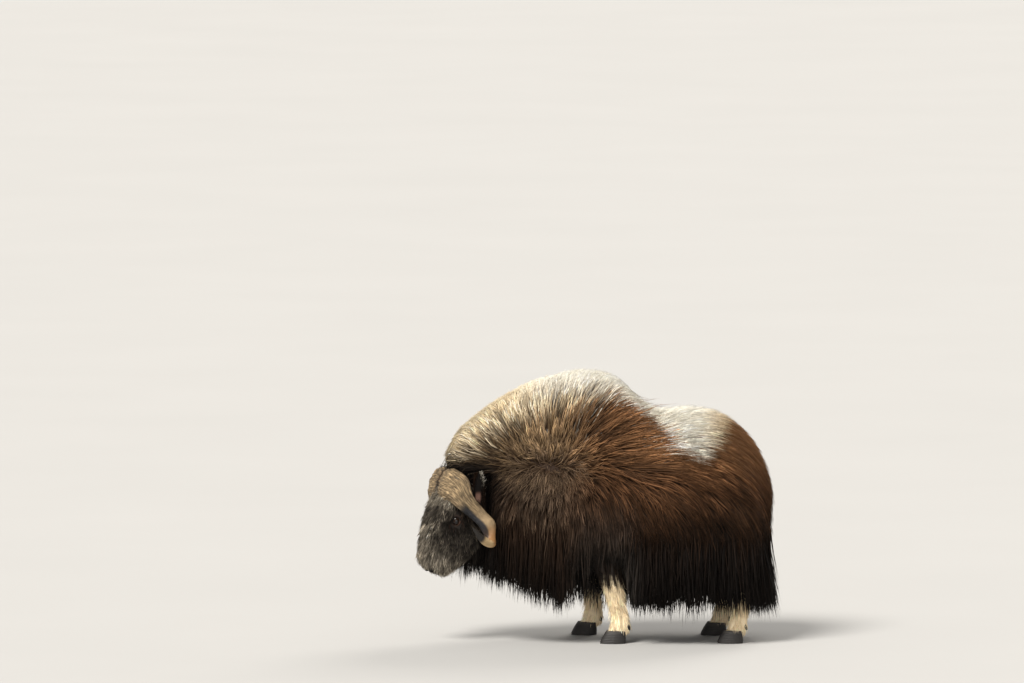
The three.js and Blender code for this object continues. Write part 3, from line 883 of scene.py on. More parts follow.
class Finish:
    """A material while its nodes are laid."""

    def __init__(self, name: str) -> None:
        """Starts a material with one Principled shader.

        Args:
            name: The material's name.
        """
        self.material = bpy.data.materials.new(name)
        self.material.use_nodes = True
        self.tree = self.material.node_tree
        self.shader = self.tree.nodes["Principled BSDF"]

    def node(self, kind: str, settings: dict | None = None, output: int | str = 0, **values: object) -> Link:
        """Adds a node.

        Args:
            kind: Its type's name.
            settings: Its own settings, set first; "stops" are a ramp's places and colours.
            output: The output that is wanted, by place or name.
            **values: What its sockets hold or are linked to, by name with _ for spaces.

        Returns:
            The output.
        """
        node = self.tree.nodes.new(kind)
        for key, value in (settings or {}).items():
            if key == "stops":
                self._stops(node.color_ramp, value)
            else:
                setattr(node, key, value)
        for key, value in values.items():
            name = key.replace("_", " ")
            socket = next(s for s in node.inputs if s.name == name and s.enabled)
            plug(self.tree, socket, value)
        return Link(self.tree, node.outputs[output])

    @staticmethod
    def _stops(ramp: bpy.types.ColorRamp, stops: Sequence) -> None:
        """Sets a ramp's places and colours.

        Args:
            ramp: The ramp.
            stops: Its places with their colours.
        """
        while len(ramp.elements) < len(stops):
            ramp.elements.new(0.5)
        for element, (place, colour) in zip(ramp.elements, stops):
            element.position = place
            element.color = (*colour, 1.0)

    def place(self, scale: tuple[float, float, float] = (1, 1, 1)) -> Link:
        """Object coordinates, stretched."""
        coordinates = self.node("ShaderNodeTexCoord", output="Object")
        return self.node("ShaderNodeMapping", Vector=coordinates, Scale=scale)

    def tone(self) -> Link:
        """The colour that is stored at the vertices."""
        return self.node("ShaderNodeAttribute", {"attribute_name": TONE}, "Color")

    def tinted(self, colour: Link, factor: Link) -> Link:
        """A colour made lighter or darker by a factor."""
        return self.node("ShaderNodeVectorMath", {"operation": "SCALE"}, Vector=colour, Scale=factor)

    def noise(self, vector: Link, scale: float, detail: float = 3.0) -> Link:
        """A noise value from 0 to 1."""
        return self.node("ShaderNodeTexNoise", Vector=vector, Scale=scale, Detail=detail)

    def bump(self, height: Link, distance: float) -> Link:
        """A normal that a height moves."""
        return self.node("ShaderNodeBump", Height=height, Distance=distance, Strength=1.0)

    def set(self, **values: object) -> Finish:
        """Sets or links the shader's own sockets, by name with _ for spaces.

        Args:
            **values: What each socket holds or is linked to.

        Returns:
            This finish.
        """
        for key, value in values.items():
            plug(self.tree, self.shader.inputs[key.replace("_", " ")], value)
        return self


@dataclass(frozen=True)
class HairFinish:
    """Long and short hair: its own colours, streaked along the strands, with a dull gloss."""

    name: str = "hair"
    roughness: float = 0.60
    gloss: float = 0.10
    streaks: float = 0.24

    def build(self) -> bpy.types.Material:
        """Lays the nodes.

        Returns:
            The material.
        """
        finish = Finish(self.name)
        tone = finish.tone()
        fine = finish.noise(finish.place((1, 1, 0.25)), 210.0, 2.0)
        broad = finish.noise(finish.place(), 9.0)
        factor = 1.0 + (fine - 0.5) * self.streaks + (broad - 0.5) * self.streaks
        finish.set(
            Base_Color=finish.tinted(tone, factor),
            Roughness=self.roughness + fine * 0.2,
            Specular_IOR_Level=self.gloss,
        )
        return finish.material


@dataclass(frozen=True)
class SkinFinish:
    """Skin under the coat and short flat fur: its markings with the fur's grain as bump."""

    name: str = "skin"
    grain: float = 260.0
    depth: float = 0.0016

    def build(self) -> bpy.types.Material:
        """Lays the nodes.

        Returns:
            The material.
        """
        finish = Finish(self.name)
        tone = finish.tone()
        grain = finish.noise(finish.place((1, 1, 0.3)), self.grain, 4.0)
        folds = finish.noise(finish.place(), 34.0, 2.0)
        height = grain * 0.6 + folds * 0.4
        finish.set(
            Base_Color=finish.tinted(tone, 0.72 + grain * 0.56),
            Roughness=0.6 + grain * 0.25,
            Normal=finish.bump(height, self.depth),
            Specular_IOR_Level=0.3,
        )
        return finish.material


@dataclass(frozen=True)
class HornFinish:
    """Horn: coarse fibres along the boss that run out into a polished hook."""

    name: str = "horn"
    fibres: tuple[float, float, float] = (7.0, 46.0, 1.0)

    def build(self) -> bpy.types.Material:
        """Lays the nodes.

        Returns:
            The material.
        """
        finish = Finish(self.name)
        tone = finish.tone()
        map_ = finish.node("ShaderNodeUVMap", {"uv_map": FIBRE_MAP}, "UV")
        stretched = finish.node("ShaderNodeMapping", Vector=map_, Scale=self.fibres)
        fibre = finish.noise(stretched, 2.4, 8.0)
        blotch = finish.noise(finish.place(), 22.0, 4.0)
        along = finish.node("ShaderNodeSeparateXYZ", Vector=map_)
        worn = finish.node(
            "ShaderNodeMapRange",
            {"interpolation_type": "SMOOTHSTEP"},
            Value=along,
            From_Min=0.32,
            From_Max=0.60,
            To_Min=1.0,
            To_Max=0.12,
        )
        cracks = finish.node(
            "ShaderNodeMapRange", Value=fibre, From_Min=0.40, From_Max=0.60
        )
        factor = 0.92 + (cracks - 0.5) * worn * 1.15 + (blotch - 0.5) * 1.1
        finish.set(
            Base_Color=finish.tinted(tone, factor),
            Roughness=0.38 + worn * 0.22 + cracks * 0.12,
            Normal=finish.bump(cracks * worn + blotch * 0.2, 0.0055),
            Specular_IOR_Level=0.35,
        )
        return finish.material


@dataclass(frozen=True)
class HoofFinish:
    """Hoof wall: dark horn with growth rings and scuffs near the ground."""

    name: str = "hoof"

    def build(self) -> bpy.types.Material:
        """Lays the nodes.

        Returns:
            The material.
        """
        finish = Finish(self.name)
        tone = finish.tone()
        rings = finish.node(
            "ShaderNodeTexWave",
            {"wave_type": "BANDS", "bands_direction": "Z"},
            "Fac",
            Vector=finish.place(),
            Scale=38.0,
            Distortion=3.0,
            Detail=2.0,
        )
        scuffs = finish.noise(finish.place((1, 1, 3)), 60.0, 6.0)
        finish.set(
            Base_Color=finish.tinted(tone, 0.6 + scuffs * 0.9 + rings * 0.15),
            Roughness=0.45 + scuffs * 0.3,
            Normal=finish.bump(rings * 0.6 + scuffs * 0.4, 0.0012),
        )
        return finish.material


@dataclass(frozen=True)
class EyeFinish:
    """A wet eye: a dark brown iris with a long pupil under a clear coat."""

    name: str = "eye"

    def build(self) -> bpy.types.Material:
        """Lays the nodes.

        Returns:
            The material.
        """
        finish = Finish(self.name)
        tone = finish.tone()
        rays = finish.noise(finish.place(), 420.0)
        finish.set(
            Base_Color=finish.tinted(tone, 0.75 + rays * 0.5),
            Roughness=0.22 + rays * 0.06,
            Specular_IOR_Level=0.08,
            Coat_Weight=0.7,
            Coat_Roughness=0.03,
        )
        return finish.material


@dataclass(frozen=True)
class FloorFinish:
    """A plain pale studio floor."""

    name: str = "studio_floor"
    colour: Colour = (0.40, 0.395, 0.385)

    def build(self) -> bpy.types.Material:
        """Lays the nodes.

        Returns:
            The material.
        """
        finish = Finish(self.name)
        cloud = finish.noise(finish.place(), 0.6)
        base = finish.node("ShaderNodeRGB")
        base.socket.default_value = (*self.colour, 1.0)
        finish.set(Base_Color=finish.tinted(base, 0.97 + cloud * 0.06), Roughness=0.9)
        return finish.material


@dataclass
class Finishes:
    """Every material of the animal."""

    hair: bpy.types.Material = field(default_factory=lambda: HairFinish().build())
    skin: bpy.types.Material = field(default_factory=lambda: SkinFinish().build())
    horn: bpy.types.Material = field(default_factory=lambda: HornFinish().build())
    hoof: bpy.types.Material = field(default_factory=lambda: HoofFinish().build())
    eye: bpy.types.Material = field(default_factory=lambda: EyeFinish().build())


@dataclass
class Trunk:
    """Neck and torso: the outline of the coat, its lie and its markings."""

    # Stations: x, y of the middle, top, underside and half width.
    rows: tuple = (
        (-0.822, -0.092, 1.010, 0.760, 0.125),
        (-0.740, -0.078, 1.090, 0.620, 0.170),
        (-0.640, -0.058, 1.172, 0.510, 0.215),
        (-0.513, -0.032, 1.260, 0.430, 0.265),
        (-0.369, -0.010, 1.333, 0.370, 0.315),
        (-0.215, 0.0, 1.382, 0.325, 0.352),
        (-0.060, 0.0, 1.401, 0.300, 0.374),
        (0.085, 0.0, 1.366, 0.290, 0.386),
        (0.190, 0.0, 1.268, 0.290, 0.390),
        (0.300, 0.0, 1.206, 0.290, 0.394),
        (0.470, 0.0, 1.216, 0.295, 0.400),
        (0.630, 0.0, 1.180, 0.305, 0.388),
        (0.765, 0.0, 1.072, 0.330, 0.350),
        (0.862, 0.0, 0.940, 0.370, 0.280),
        (0.912, 0.0, 0.850, 0.430, 0.200),
    )
    # The parting's front end, back end and height.
    parting: tuple[float, float, float] = (-0.385, -0.140, 0.915)
    fan: float = 0.22
    crest_rise: float = 0.75
    # Where the neck starts to turn left, and how far it does for each metre.
    seam: float = -0.262
    neck_bend: float = -0.164
    # x and height of the pale saddle's lower edge.
    saddle_edge: tuple = (
        (0.16, 1.42),
        (0.20, 1.26),
        (0.336, 1.145),
        (0.42, 1.038),
        (0.517, 0.985),
        (0.595, 0.965),
        (0.67, 1.05),
        (0.74, 1.20),
    )
    # How far the tips of the hair lie from its roots on the saddle, and where its tips are judged.
    saddle_drift: tuple[float, float, float] = (0.05, 0.0, 0.04)
    saddle_reach: tuple[float, float, float] = (0.050, 0.0, 0.012)
    # x and how far the pale band reaches below the ridge there.
    crest_band: tuple = (
        (-0.75, 0.130),
        (-0.62, 0.140),
        (-0.51, 0.150),
        (-0.30, 0.160),
        (-0.05, 0.140),
        (0.10, 0.085),
        (0.20, 0.035),
    )
    skin_depth: float = 0.052
    # Heights at which the hanging hair ends, and the places between which they change.
    hem_torso: float = 0.130
    hem_neck: float = 0.290
    hem_foreleg: float = 0.430
    hem_slope: tuple[float, float] = (-0.66, -0.12)
    foreleg_front: tuple[float, float] = (-0.19, -0.13)
    foreleg_back: tuple[float, float] = (0.11, 0.15)
    foreleg_side: float = 0.2
    # Lengths of hair, how much less some places have, and how uneven the hem is.
    long_length: float = 0.26
    wool_shorter: float = 0.180
    hump_shorter: float = 0.085
    least_length: float = 0.09
    whorl_length: tuple[float, float] = (0.045, 0.085)
    hem_ragged: float = 0.03
    root_step: float = 0.012
    long_hair: Hair = Hair(
        24_000, steps=4, width=0.0042, clump=9, pull=0.50, vary=0.40, wave=0.008, spread=(0.65, 1.2)
    )
    wool_hair: Hair = Hair(
        17_500, steps=3, width=0.0042, clump=9, pull=0.50, vary=0.14, wave=0.008, spread=(0.65, 1.2)
    )
    whorl_hair: Hair = Hair(
        2_200, steps=3, width=0.0030, clump=6, pull=0.40, vary=0.30, wave=0.006, turns=1.0
    )
    hanging_hair: Hair = Hair(
        12_500,
        steps=5,
        width=0.0048,
        clump=9,
        pull=0.45,
        vary=0.34,
        wave=0.010,
        turns=1.2,
        spread=(0.7, 1.25),
        taper=0.5,
    )
    seed: int = 19

    def __post_init__(self) -> None:
        """Makes the outline from its stations."""
        x, y, top, low, half = np.array(self.rows).T
        middle = (x, y, (top + low) / 2)
        form = {"ends": (0.10, 0.13), "belly": 0.16, "power": 0.86}
        self.loft = HollowedLoft.of_stations(middle, (top - low) / 2, half, 2, **form)
        self.ridge = (x, top)

    def from_parting(self, p: Array) -> tuple[Array, Array, Array]:
        """How far places lie from the parting on the shoulder.

        Args:
            p: The places.

        Returns:
            The way along x, the way along z and the whole way, for each.
        """
        start, end, height = self.parting
        across = p[:, 0] - np.clip(p[:, 0], start, end)
        fan = self.fan * (np.clip(p[:, 0], start, end) - (start + end) / 2)
        dx, dz = across + fan, p[:, 2] - height
        return dx, dz, np.maximum(np.hypot(dx, dz), 1e-6)

    def flow(self, p: Array) -> Array:
        """The lie of the hair: away from the parting, falling further back, rising at the crest.

        Args:
            p: The places.

        Returns:
            A direction for each.
        """
        dx, dz, distance = self.from_parting(p)
        below = smooth(-0.10, 0.22, -dz)
        away = smooth(0.12, 1.0, distance) * np.where(dx > 0, 0.72, 0.2)
        fall = np.maximum(below, away)
        bend = self.neck_bend * np.maximum(0.0, self.seam - p[:, 0])
        crest = smooth(-0.30, -0.55, p[:, 0]) * smooth(0.86, 1.0, p[:, 2])
        rise = dz / distance * (1 - fall) + self.crest_rise * crest
        rise = rise * smooth(0.0, 0.12, np.abs(p[:, 1] - bend))
        ahead = dx / distance * (1 - fall) + 0.05 * np.sign(dx)
        return unit(np.column_stack([ahead, np.zeros(len(p)), rise - fall * (1 - crest)]))

    def hem(self, p: Array) -> Array:
        """Height of the tips of the hanging hair.

        Args:
            p: The places of the roots.

        Returns:
            A height for each.
        """
        x, aside = p[:, 0], np.abs(p[:, 1]) > self.foreleg_side
        hem = self.hem_neck + (self.hem_torso - self.hem_neck) * smooth(*self.hem_slope, x)
        beside = smooth(*self.foreleg_front, x) * (1 - smooth(*self.foreleg_back, x)) * aside
        return hem + (self.hem_foreleg - hem) * beside

    def below_ridge(self, p: Array) -> Array:
        """How far a point lies below the ridge of the back."""
        return np.interp(p[:, 0], *self.ridge) - p[:, 2]

    def above_edge(self, p: Array) -> Array:
        """How far a point lies above the lower edge of the pale saddle."""
        x, edge = np.array(self.saddle_edge).T
        return p[:, 2] - np.interp(p[:, 0], x, edge)

    def saddle(self, p: Array) -> Array:
        """The pale patch of short woolly hair behind the hump, from 0 to 1."""
        return smooth(-0.012, 0.030, self.above_edge(p))

    def crest(self, p: Array) -> Array:
        """The pale band along the top of neck and hump.

        Args:
            p: The places.

        Returns:
            How far each belongs to it, from 0 to 1.
        """
        x, wide = np.array(self.crest_band).T
        wide = np.interp(p[:, 0], x, wide)
        return smooth(1.22 * wide, 0.55 * wide, self.below_ridge(p)) * smooth(0.30, 0.18, p[:, 0])

    def wool(self, p: Array) -> Array:
        """Where the hair is short and woolly: on the saddle and along the ridge, from 0 to 1."""
        saddle = self.saddle(p + self.saddle_drift)
        return np.maximum(saddle, 0.88 * smooth(0.15, 0.05, self.below_ridge(p)))

    def tones(self, p: Array, pale: Array, rng: np.random.Generator) -> tuple[Array, Array]:
        """Colours of hair at its root and tip, from where it lies.

        Args:
            p: The places.
            pale: How far each belongs to the pale saddle, from 0 to 1.
            rng: The source of random numbers.

        Returns:
            The root colours and the tip colours.
        """
        c = PALETTE
        p = p + rng.normal(0, 0.012, p.shape)
        x, z, chance = p[:, 0], p[:, 2], rng.uniform(0, 1, len(p))
        # Golden towards the top of the flank and near-black towards the bottom: the coat's own colour, with
        # painted sunlight above and painted shade below.
        high = smooth(0.80, 1.02, z)
        flank = blend(c.brown, c.golden, high * (0.35 + 0.65 * chance))
        neck = blend(c.taupe, c.wheat, smooth(0.74, 1.04, z) * (0.30 + 0.70 * chance))
        neck = neck * (1 - 0.42 * smooth(-0.32, -0.46, x))[:, None]
        tip = blend(flank, neck, smooth(0.08, -0.28, x))
        shade = hump_at(x, -0.01, 0.13) * hump_at(z, 1.17, 0.09)
        tip = tip * (1 - 0.42 * shade)[:, None]
        root = np.tile(c.umber, (len(p), 1))
        level = z - 0.07 * smooth(0.06, 0.22, x) - 0.05 * smooth(0.30, 0.60, x) + 0.10 * (chance - 0.5)
        level = level + 0.09 * hump_at(x, -0.27, 0.16)
        low = smooth(0.82, 0.47, level)
        tip = blend(tip, blend(c.umber, c.black, smooth(0.62, 0.42, z)), low)
        root = blend(root, c.black, low)
        pit = smooth(0.085, 0.02, self.from_parting(p)[2])
        tip = blend(tip, c.taupe, pit * 0.7)
        crest = self.crest(p + rng.normal(0, 0.016, p.shape))
        # Cream at the very top of neck and hump: pale hair, brightened further as a painted highlight where
        # the light falls on the top.
        top = smooth(0.13, 0.05, self.below_ridge(p)) * smooth(-0.55, -0.2, x)
        shaggy = smooth(-0.50, -0.62, x)
        tip = blend(tip, blend(c.beige, c.cream, np.maximum(top, chance * 0.45)), crest)
        under = blend(blend(c.wheat, c.cream, top), c.umber, shaggy * 0.8)
        root = blend(root, under, crest * (0.6 + 0.4 * top))
        faded = smooth(0.49, 0.63, x)
        tip = blend(tip, blend(c.cream, blend(c.beige, c.taupe, chance * 0.5), faded), pale)
        root = blend(root, blend(c.cream, c.taupe, np.maximum(faded, 0.04)), pale)
        # Black behind the head: painted shadow in the hollow between the turned head, the ear and the neck.
        behind = smooth(-0.46, -0.57, x) * smooth(1.02, 0.89, z)
        tip = blend(tip, c.black, behind)
        root = blend(root, c.black, behind)
        leg = smooth(-0.20, -0.06, x) * smooth(0.24, 0.14, x) * smooth(0.78, 0.62, z)
        tip = blend(tip, c.slate, leg * 0.55)
        return root, tip

    def unwrap(self, u: Array, v: Array) -> Array:
        """Places on the unwrap of the skin for points of the trunk."""
        return np.column_stack([0.01 + 0.97 * u, 0.42 + 0.56 * turn_of(v)])

    def dense(self, p: Array, v: Array) -> Array:
        """How densely the coat's roots stand: most at the parting, few under the belly.

        Args:
            p: The places of the roots.
            v: Their angles.

        Returns:
            A weight for each.
        """
        under = smooth(2.5, 2.1, np.abs(v))
        parting = smooth(0.16, 0.05, self.from_parting(p)[2])
        return (0.08 + 0.92 * under) * (1.0 + 1.6 * parting + 0.4 * self.crest(p))

    def cover(self, hair: Hair, rng: np.random.Generator) -> Strands:
        """Hair that lies on neck and flanks.

        Args:
            hair: The short wool or the long coat.
            rng: The source of random numbers.

        Returns:
            The tufts.
        """

        def weight(p: Array, v: Array) -> Array:
            """Wool where it is woolly, long hair elsewhere."""
            wool = self.wool(p)
            return self.dense(p, v) * (wool if hair is self.wool_hair else 1 - 0.92 * wool)

        u, v = self.loft.sample(hair.count, weight, rng)
        p = self.loft.point(u, v, self.skin_depth)
        wool = self.wool(p)
        crest = self.crest(p) * (1 - wool)
        near = smooth(0.34, 0.06, self.from_parting(p)[2])
        above = self.above_edge(p + self.saddle_drift)
        brim = smooth(-0.24, -0.04, above) * smooth(0.0, 0.12, p[:, 0]) * (1 - wool)
        room = p[:, 2] - self.hem(p) + rng.normal(0, self.hem_ragged, len(p))
        room = np.maximum(room, self.least_length)
        hump = smooth(0.42, 0.16, self.below_ridge(p)) * (1 - wool)
        free = self.long_length - self.wool_shorter * wool - self.hump_shorter * hump
        free = free * (1 - 0.42 * crest) * (1 - 0.62 * near * (1 - wool)) * (1 - 0.50 * brim)
        length = np.minimum(free * rng.uniform(0.7, 1.15, len(p)), room)
        tip_inset = 0.002 - 0.012 * crest - 0.008 * near
        lay = Lay(self.flow, self.skin_depth + self.root_step, tip_inset, steps=hair.steps)
        grown = grow(self.loft, u, v, length, lay, rng)
        near_tip = grown[0][:, -2]
        reach = near_tip + self.saddle_reach
        pale = self.saddle(reach + rng.normal(0, 0.012, reach.shape))
        root, _ = self.tones(grown[0][:, 1], pale, rng)
        _, tip = self.tones(near_tip, pale, rng)
        width = hair.width - 0.0016 * wool
        pull = hair.pull + 0.30 * crest - 0.12 * wool
        wave = hair.wave + 0.006 * crest - 0.003 * wool
        place = self.unwrap(u, v)
        return hair.tufts(grown, (root, tip), place, rng, width=width, pull=pull, wave=wave)

    def coat(self) -> Strands:
        """The long coat of neck and flanks."""
        return self.cover(self.long_hair, np.random.default_rng(self.seed))

    def fleece(self) -> Strands:
        """The short wool of the ridge and the saddle."""
        return self.cover(self.wool_hair, np.random.default_rng(self.seed + 4))

    def whorl(self) -> Strands:
        """Short hair that stands up all over the parting.

        Returns:
            The tufts.
        """
        rng = np.random.default_rng(self.seed + 3)

        def weight(p: Array, v: Array) -> Array:
            """Only about the parting."""
            return smooth(0.17, 0.03, self.from_parting(p)[2])

        hair = self.whorl_hair
        u, v = self.loft.sample(hair.count, weight, rng)
        p = self.loft.point(u, v, self.skin_depth)
        length = rng.uniform(*self.whorl_length, len(p))
        root_inset = self.skin_depth + self.root_step
        lay = Lay(self.flow, root_inset, -0.010, steps=hair.steps, stray=0.9)
        grown = grow(self.loft, u, v, length, lay, rng)
        tones = self.tones(p, np.zeros(len(p)), rng)
        return hair.tufts(grown, tones, self.unwrap(u, v), rng)

    def curtain(self) -> Strands:
        """The hanging hair that reaches from the flanks to the fetlocks.

        Returns:
            The tufts.
        """
        rng = np.random.default_rng(self.seed + 1)

        def weight(p: Array, v: Array) -> Array:
            """How densely the hair grows: only on the lower flanks and the end of the rump.

            Args:
                p: The places.
                v: Their angles.

            Returns:
                A weight for each.
            """
            turn = np.abs(v)
            sides = smooth(1.05, 1.5, turn) * (1 - smooth(2.35, 2.75, turn) * 0.75)
            return sides + 3.0 * smooth(0.80, 0.88, p[:, 0]) * smooth(0.95, 0.80, p[:, 2])

        hair = self.hanging_hair
        u, v = self.loft.sample(hair.count, weight, rng)
        p = self.loft.point(u, v, self.skin_depth)
        rear = smooth(0.72, 0.86, p[:, 0])
        room = np.maximum(p[:, 2] - self.hem(p), 0.1)
        length = room * (1 - 0.34 * rng.uniform(0, 1, len(p)) ** 2.2) + rng.normal(0, 0.02, len(p))
        lay = Lay(
            self.flow,
            self.skin_depth + self.root_step,
            0.004,
            steps=hair.steps,
            hang_slope=-0.12,
            swing=0.06 + 0.03 * rear,
            push=rear,
        )
        grown = grow(self.loft, u, v, length, lay, rng)
        none = np.zeros(len(p))
        root, _ = self.tones(grown[0][:, 1], none, rng)
        _, tip = self.tones(grown[0][:, -2], none, rng)
        return hair.tufts(grown, (root, tip), self.unwrap(u, v), rng)

    def skin(self) -> Solid:
        """The trunk's own surface below the coat.

        Returns:
            The surface with its markings.
        """
        solid = self.loft.grid(72, 72, self.skin_depth)
        rng = np.random.default_rng(self.seed + 2)
        root, _ = self.tones(solid.points, self.saddle(solid.points + self.saddle_drift), rng)
        return solid.painted(root)


@dataclass
class Head:
    """The head in its own frame: x to the nose, y to the left, z to the crown, eyes at x = z = 0."""

    rest: tuple[float, float, float] = (-0.793, -0.135, 0.636)
    pitch: float = math.radians(62)
    yaw: float = math.radians(26)
    # Stations: x, top, underside and half width.
    rows: tuple = (
        (-0.236, 0.088, -0.090, 0.096),
        (-0.180, 0.112, -0.175, 0.122),
        (-0.110, 0.110, -0.222, 0.140),
        (-0.040, 0.106, -0.242, 0.144),
        (0.025, 0.098, -0.238, 0.134),
        (0.090, 0.086, -0.220, 0.114),
        (0.155, 0.070, -0.192, 0.098),
        (0.215, 0.050, -0.158, 0.090),
        (0.262, 0.022, -0.130, 0.080),
        (0.284, -0.006, -0.112, 0.064),
    )
    # x and height of the line between the lips.
    mouth: tuple = (
        (0.112, -0.096),
        (0.160, -0.084),
        (0.215, -0.088),
        (0.262, -0.096),
        (0.300, -0.098),
    )
    brow: tuple[float, float, float] = (0.0, 0.098, 0.022)
    brow_size: tuple[float, float, float] = (0.05, 0.03, 0.028)
    brow_height: float = 0.007
    cheek: tuple[float, float, float] = (0.06, 0.1, -0.09)
    cheek_size: tuple[float, float, float] = (0.09, 0.05, 0.05)
    cheek_height: float = 0.002
    lip_height: float = 0.0035
    mouth_depth: float = 0.008
    eye_spread: float = 0.112
    eye_radius: float = 0.024
    eye_sink: float = 0.006
    eye_gap: float = 0.0035
    look: tuple[float, float, float] = (0.3, 0.93, 0.12)
    lid_line: tuple[float, float, float] = (1.0, 0.0, -0.12)
    lid_opening: tuple[float, float] = (0.0215, 0.0155)
    lash_line: tuple[float, float] = (0.0205, 0.0135)
    lid_rim: float = 0.0045
    lid_crease: float = 0.0016
    lid_edge_sink: float = 0.010
    nostril: tuple[float, float, float] = (0.276, 0.040, -0.034)
    nostril_size: tuple[float, float] = (0.013, 0.008)
    nostril_reach: tuple[float, float, float] = (0.016, 0.010, 0.012)
    nostril_depth: float = 0.016
    # Size and height of each ring of a nostril, from the outside in.
    nostril_rows: tuple = (
        (1.9, -0.010),
        (1.6, -0.003),
        (1.3, 0.003),
        (1.1, 0.0045),
        (0.95, 0.003),
        (0.85, -0.002),
        (0.75, -0.008),
        (0.6, -0.014),
        (0.35, -0.019),
        (0.08, -0.021),
    )
    lashes: dict = field(
        default_factory=lambda: {"Count": 46, "Length": 0.017, "Radius": 0.0005, "Seed": 7}
    )
    skin_depth: float = 0.012
    # Lengths of hair, and how much more or less some places have.
    face_length: float = 0.024
    throat_longer: float = 0.05
    beard_length: float = 0.125
    crown_shorter: float = 0.065
    nape_longer: float = 0.03
    short_hair: Hair = Hair(
        9_800,
        steps=3,
        width=0.0013,
        clump=9,
        pull=0.65,
        vary=0.50,
        wave=0.006,
        turns=0.5,
        spread=(0.8, 1.2),
        fade=0.9,
    )
    long_hair: Hair = Hair(
        3_200, steps=5, width=0.0036, clump=8, pull=0.60, vary=0.30, wave=0.005, turns=1.0
    )
    seed: int = 5

    def __post_init__(self) -> None:
        """Makes the outline from its stations, and the matrix that sets the head in place."""
        x, top, low, half = np.array(self.rows).T
        middle = (x, 0.0 * x, (top + low) / 2)
        form = {"ends": (0.12, 0.12), "belly": -0.06, "power": 0.8}
        self.loft = Loft.of_stations(middle, (top - low) / 2, half, 2, **form)
        ahead = np.array([-math.cos(self.yaw), -math.sin(self.yaw), 0.0])
        down = np.array([0.0, 0.0, -1.0])
        self.matrix = np.eye(4)
        self.matrix[:3, 0] = ahead * math.cos(self.pitch) + down * math.sin(self.pitch)
        self.matrix[:3, 1] = (math.sin(self.yaw), -math.cos(self.yaw), 0.0)
        self.matrix[:3, 2] = ahead * math.sin(self.pitch) - down * math.cos(self.pitch)
        self.matrix[:3, 3] = self.rest
        self.down = tuple(self.matrix[:3, :3].T @ down)

    def look_at(self, hand: Hand) -> Array:
        """The direction in which an eye looks."""
        return unit(np.array(self.look) * (1, hand.value, 1))

    def eye_centre(self, hand: Hand) -> Array:
        """The middle of an eyeball."""
        return np.array([0.0, hand.value * self.eye_spread, 0.0]) - self.look_at(hand) * self.eye_sink

    def lid_axes(self, hand: Hand) -> tuple[Array, Array]:
        """The directions along and across the slit between the lids."""
        along = square_to(self.look_at(hand), np.array(self.lid_line))
        return along, np.cross(along, self.look_at(hand)) * hand.value

    def swell(self, p: Array, middle: tuple, size: tuple) -> Array:
        """How much a swelling that both sides of the head have lifts each point, from 0 to 1.

        Args:
            p: Places in the head's frame.
            middle: The middle of the left one.
            size: How far it reaches along each axis.

        Returns:
            A share for each place.
        """
        return sum(
            np.exp(-(np.linalg.norm((p - np.array(middle) * (1, hand.value, 1)) / size, axis=1) ** 2))
            for hand in Hand
        )

    def mouth_height(self, x: Array) -> Array:
        """Height of the line between the lips."""
        return np.interp(x, *np.array(self.mouth).T)

    def tones(self, p: Array, rng: np.random.Generator) -> tuple[Array, Array]:
        """Colours of the face at the root and the tip of its hair, from where it grows.

        Args:
            p: Places in the head's frame.
            rng: The source of random numbers.

        Returns:
            The root colours and the tip colours.
        """
        c = PALETTE
        speck = rng.uniform(0, 1, len(p))
        root = np.tile(c.black, (len(p), 1))
        tip = blend(c.slate, c.ash, speck**1.6)
        muzzle = smooth(0.08, 0.24, p[:, 0])
        tip = blend(tip, c.grizzle, muzzle * (0.40 + 0.60 * speck))
        root = blend(root, c.slate, muzzle * 0.9)
        bridge = smooth(0.03, 0.085, p[:, 2]) * smooth(-0.03, 0.05, p[:, 0])
        tip = blend(tip, c.grizzle, bridge * (0.1 + 0.7 * speck))
        fringe = smooth(-0.055, -0.095, p[:, 0]) * smooth(0.02, 0.08, p[:, 2])
        tip = blend(tip, c.grizzle, fringe * (0.5 + 0.5 * speck))
        # Darker at the back of the head, round the ear root: painted shade behind the boss.
        back = smooth(0.02, -0.10, p[:, 0]) * smooth(0.06, 0.0, p[:, 2])
        tip = blend(tip, c.umber, back * 0.75)
        # Black under the jaw: painted shadow beneath the jaw's corner.
        throat = smooth(-0.175, -0.205, p[:, 2]) * smooth(0.20, 0.12, p[:, 0])
        tip = blend(tip, c.black, throat * 0.95)
        ring = np.minimum(*(np.linalg.norm(p - self.eye_centre(hand), axis=1) for hand in Hand))
        tip = blend(tip, c.black, smooth(0.075, 0.045, ring) * 0.7)
        lit = smooth(0.038, 0.028, ring)
        tip = blend(tip, c.bare, lit * 0.5)
        root = blend(root, c.bare, lit * 0.3)
        return root, tip

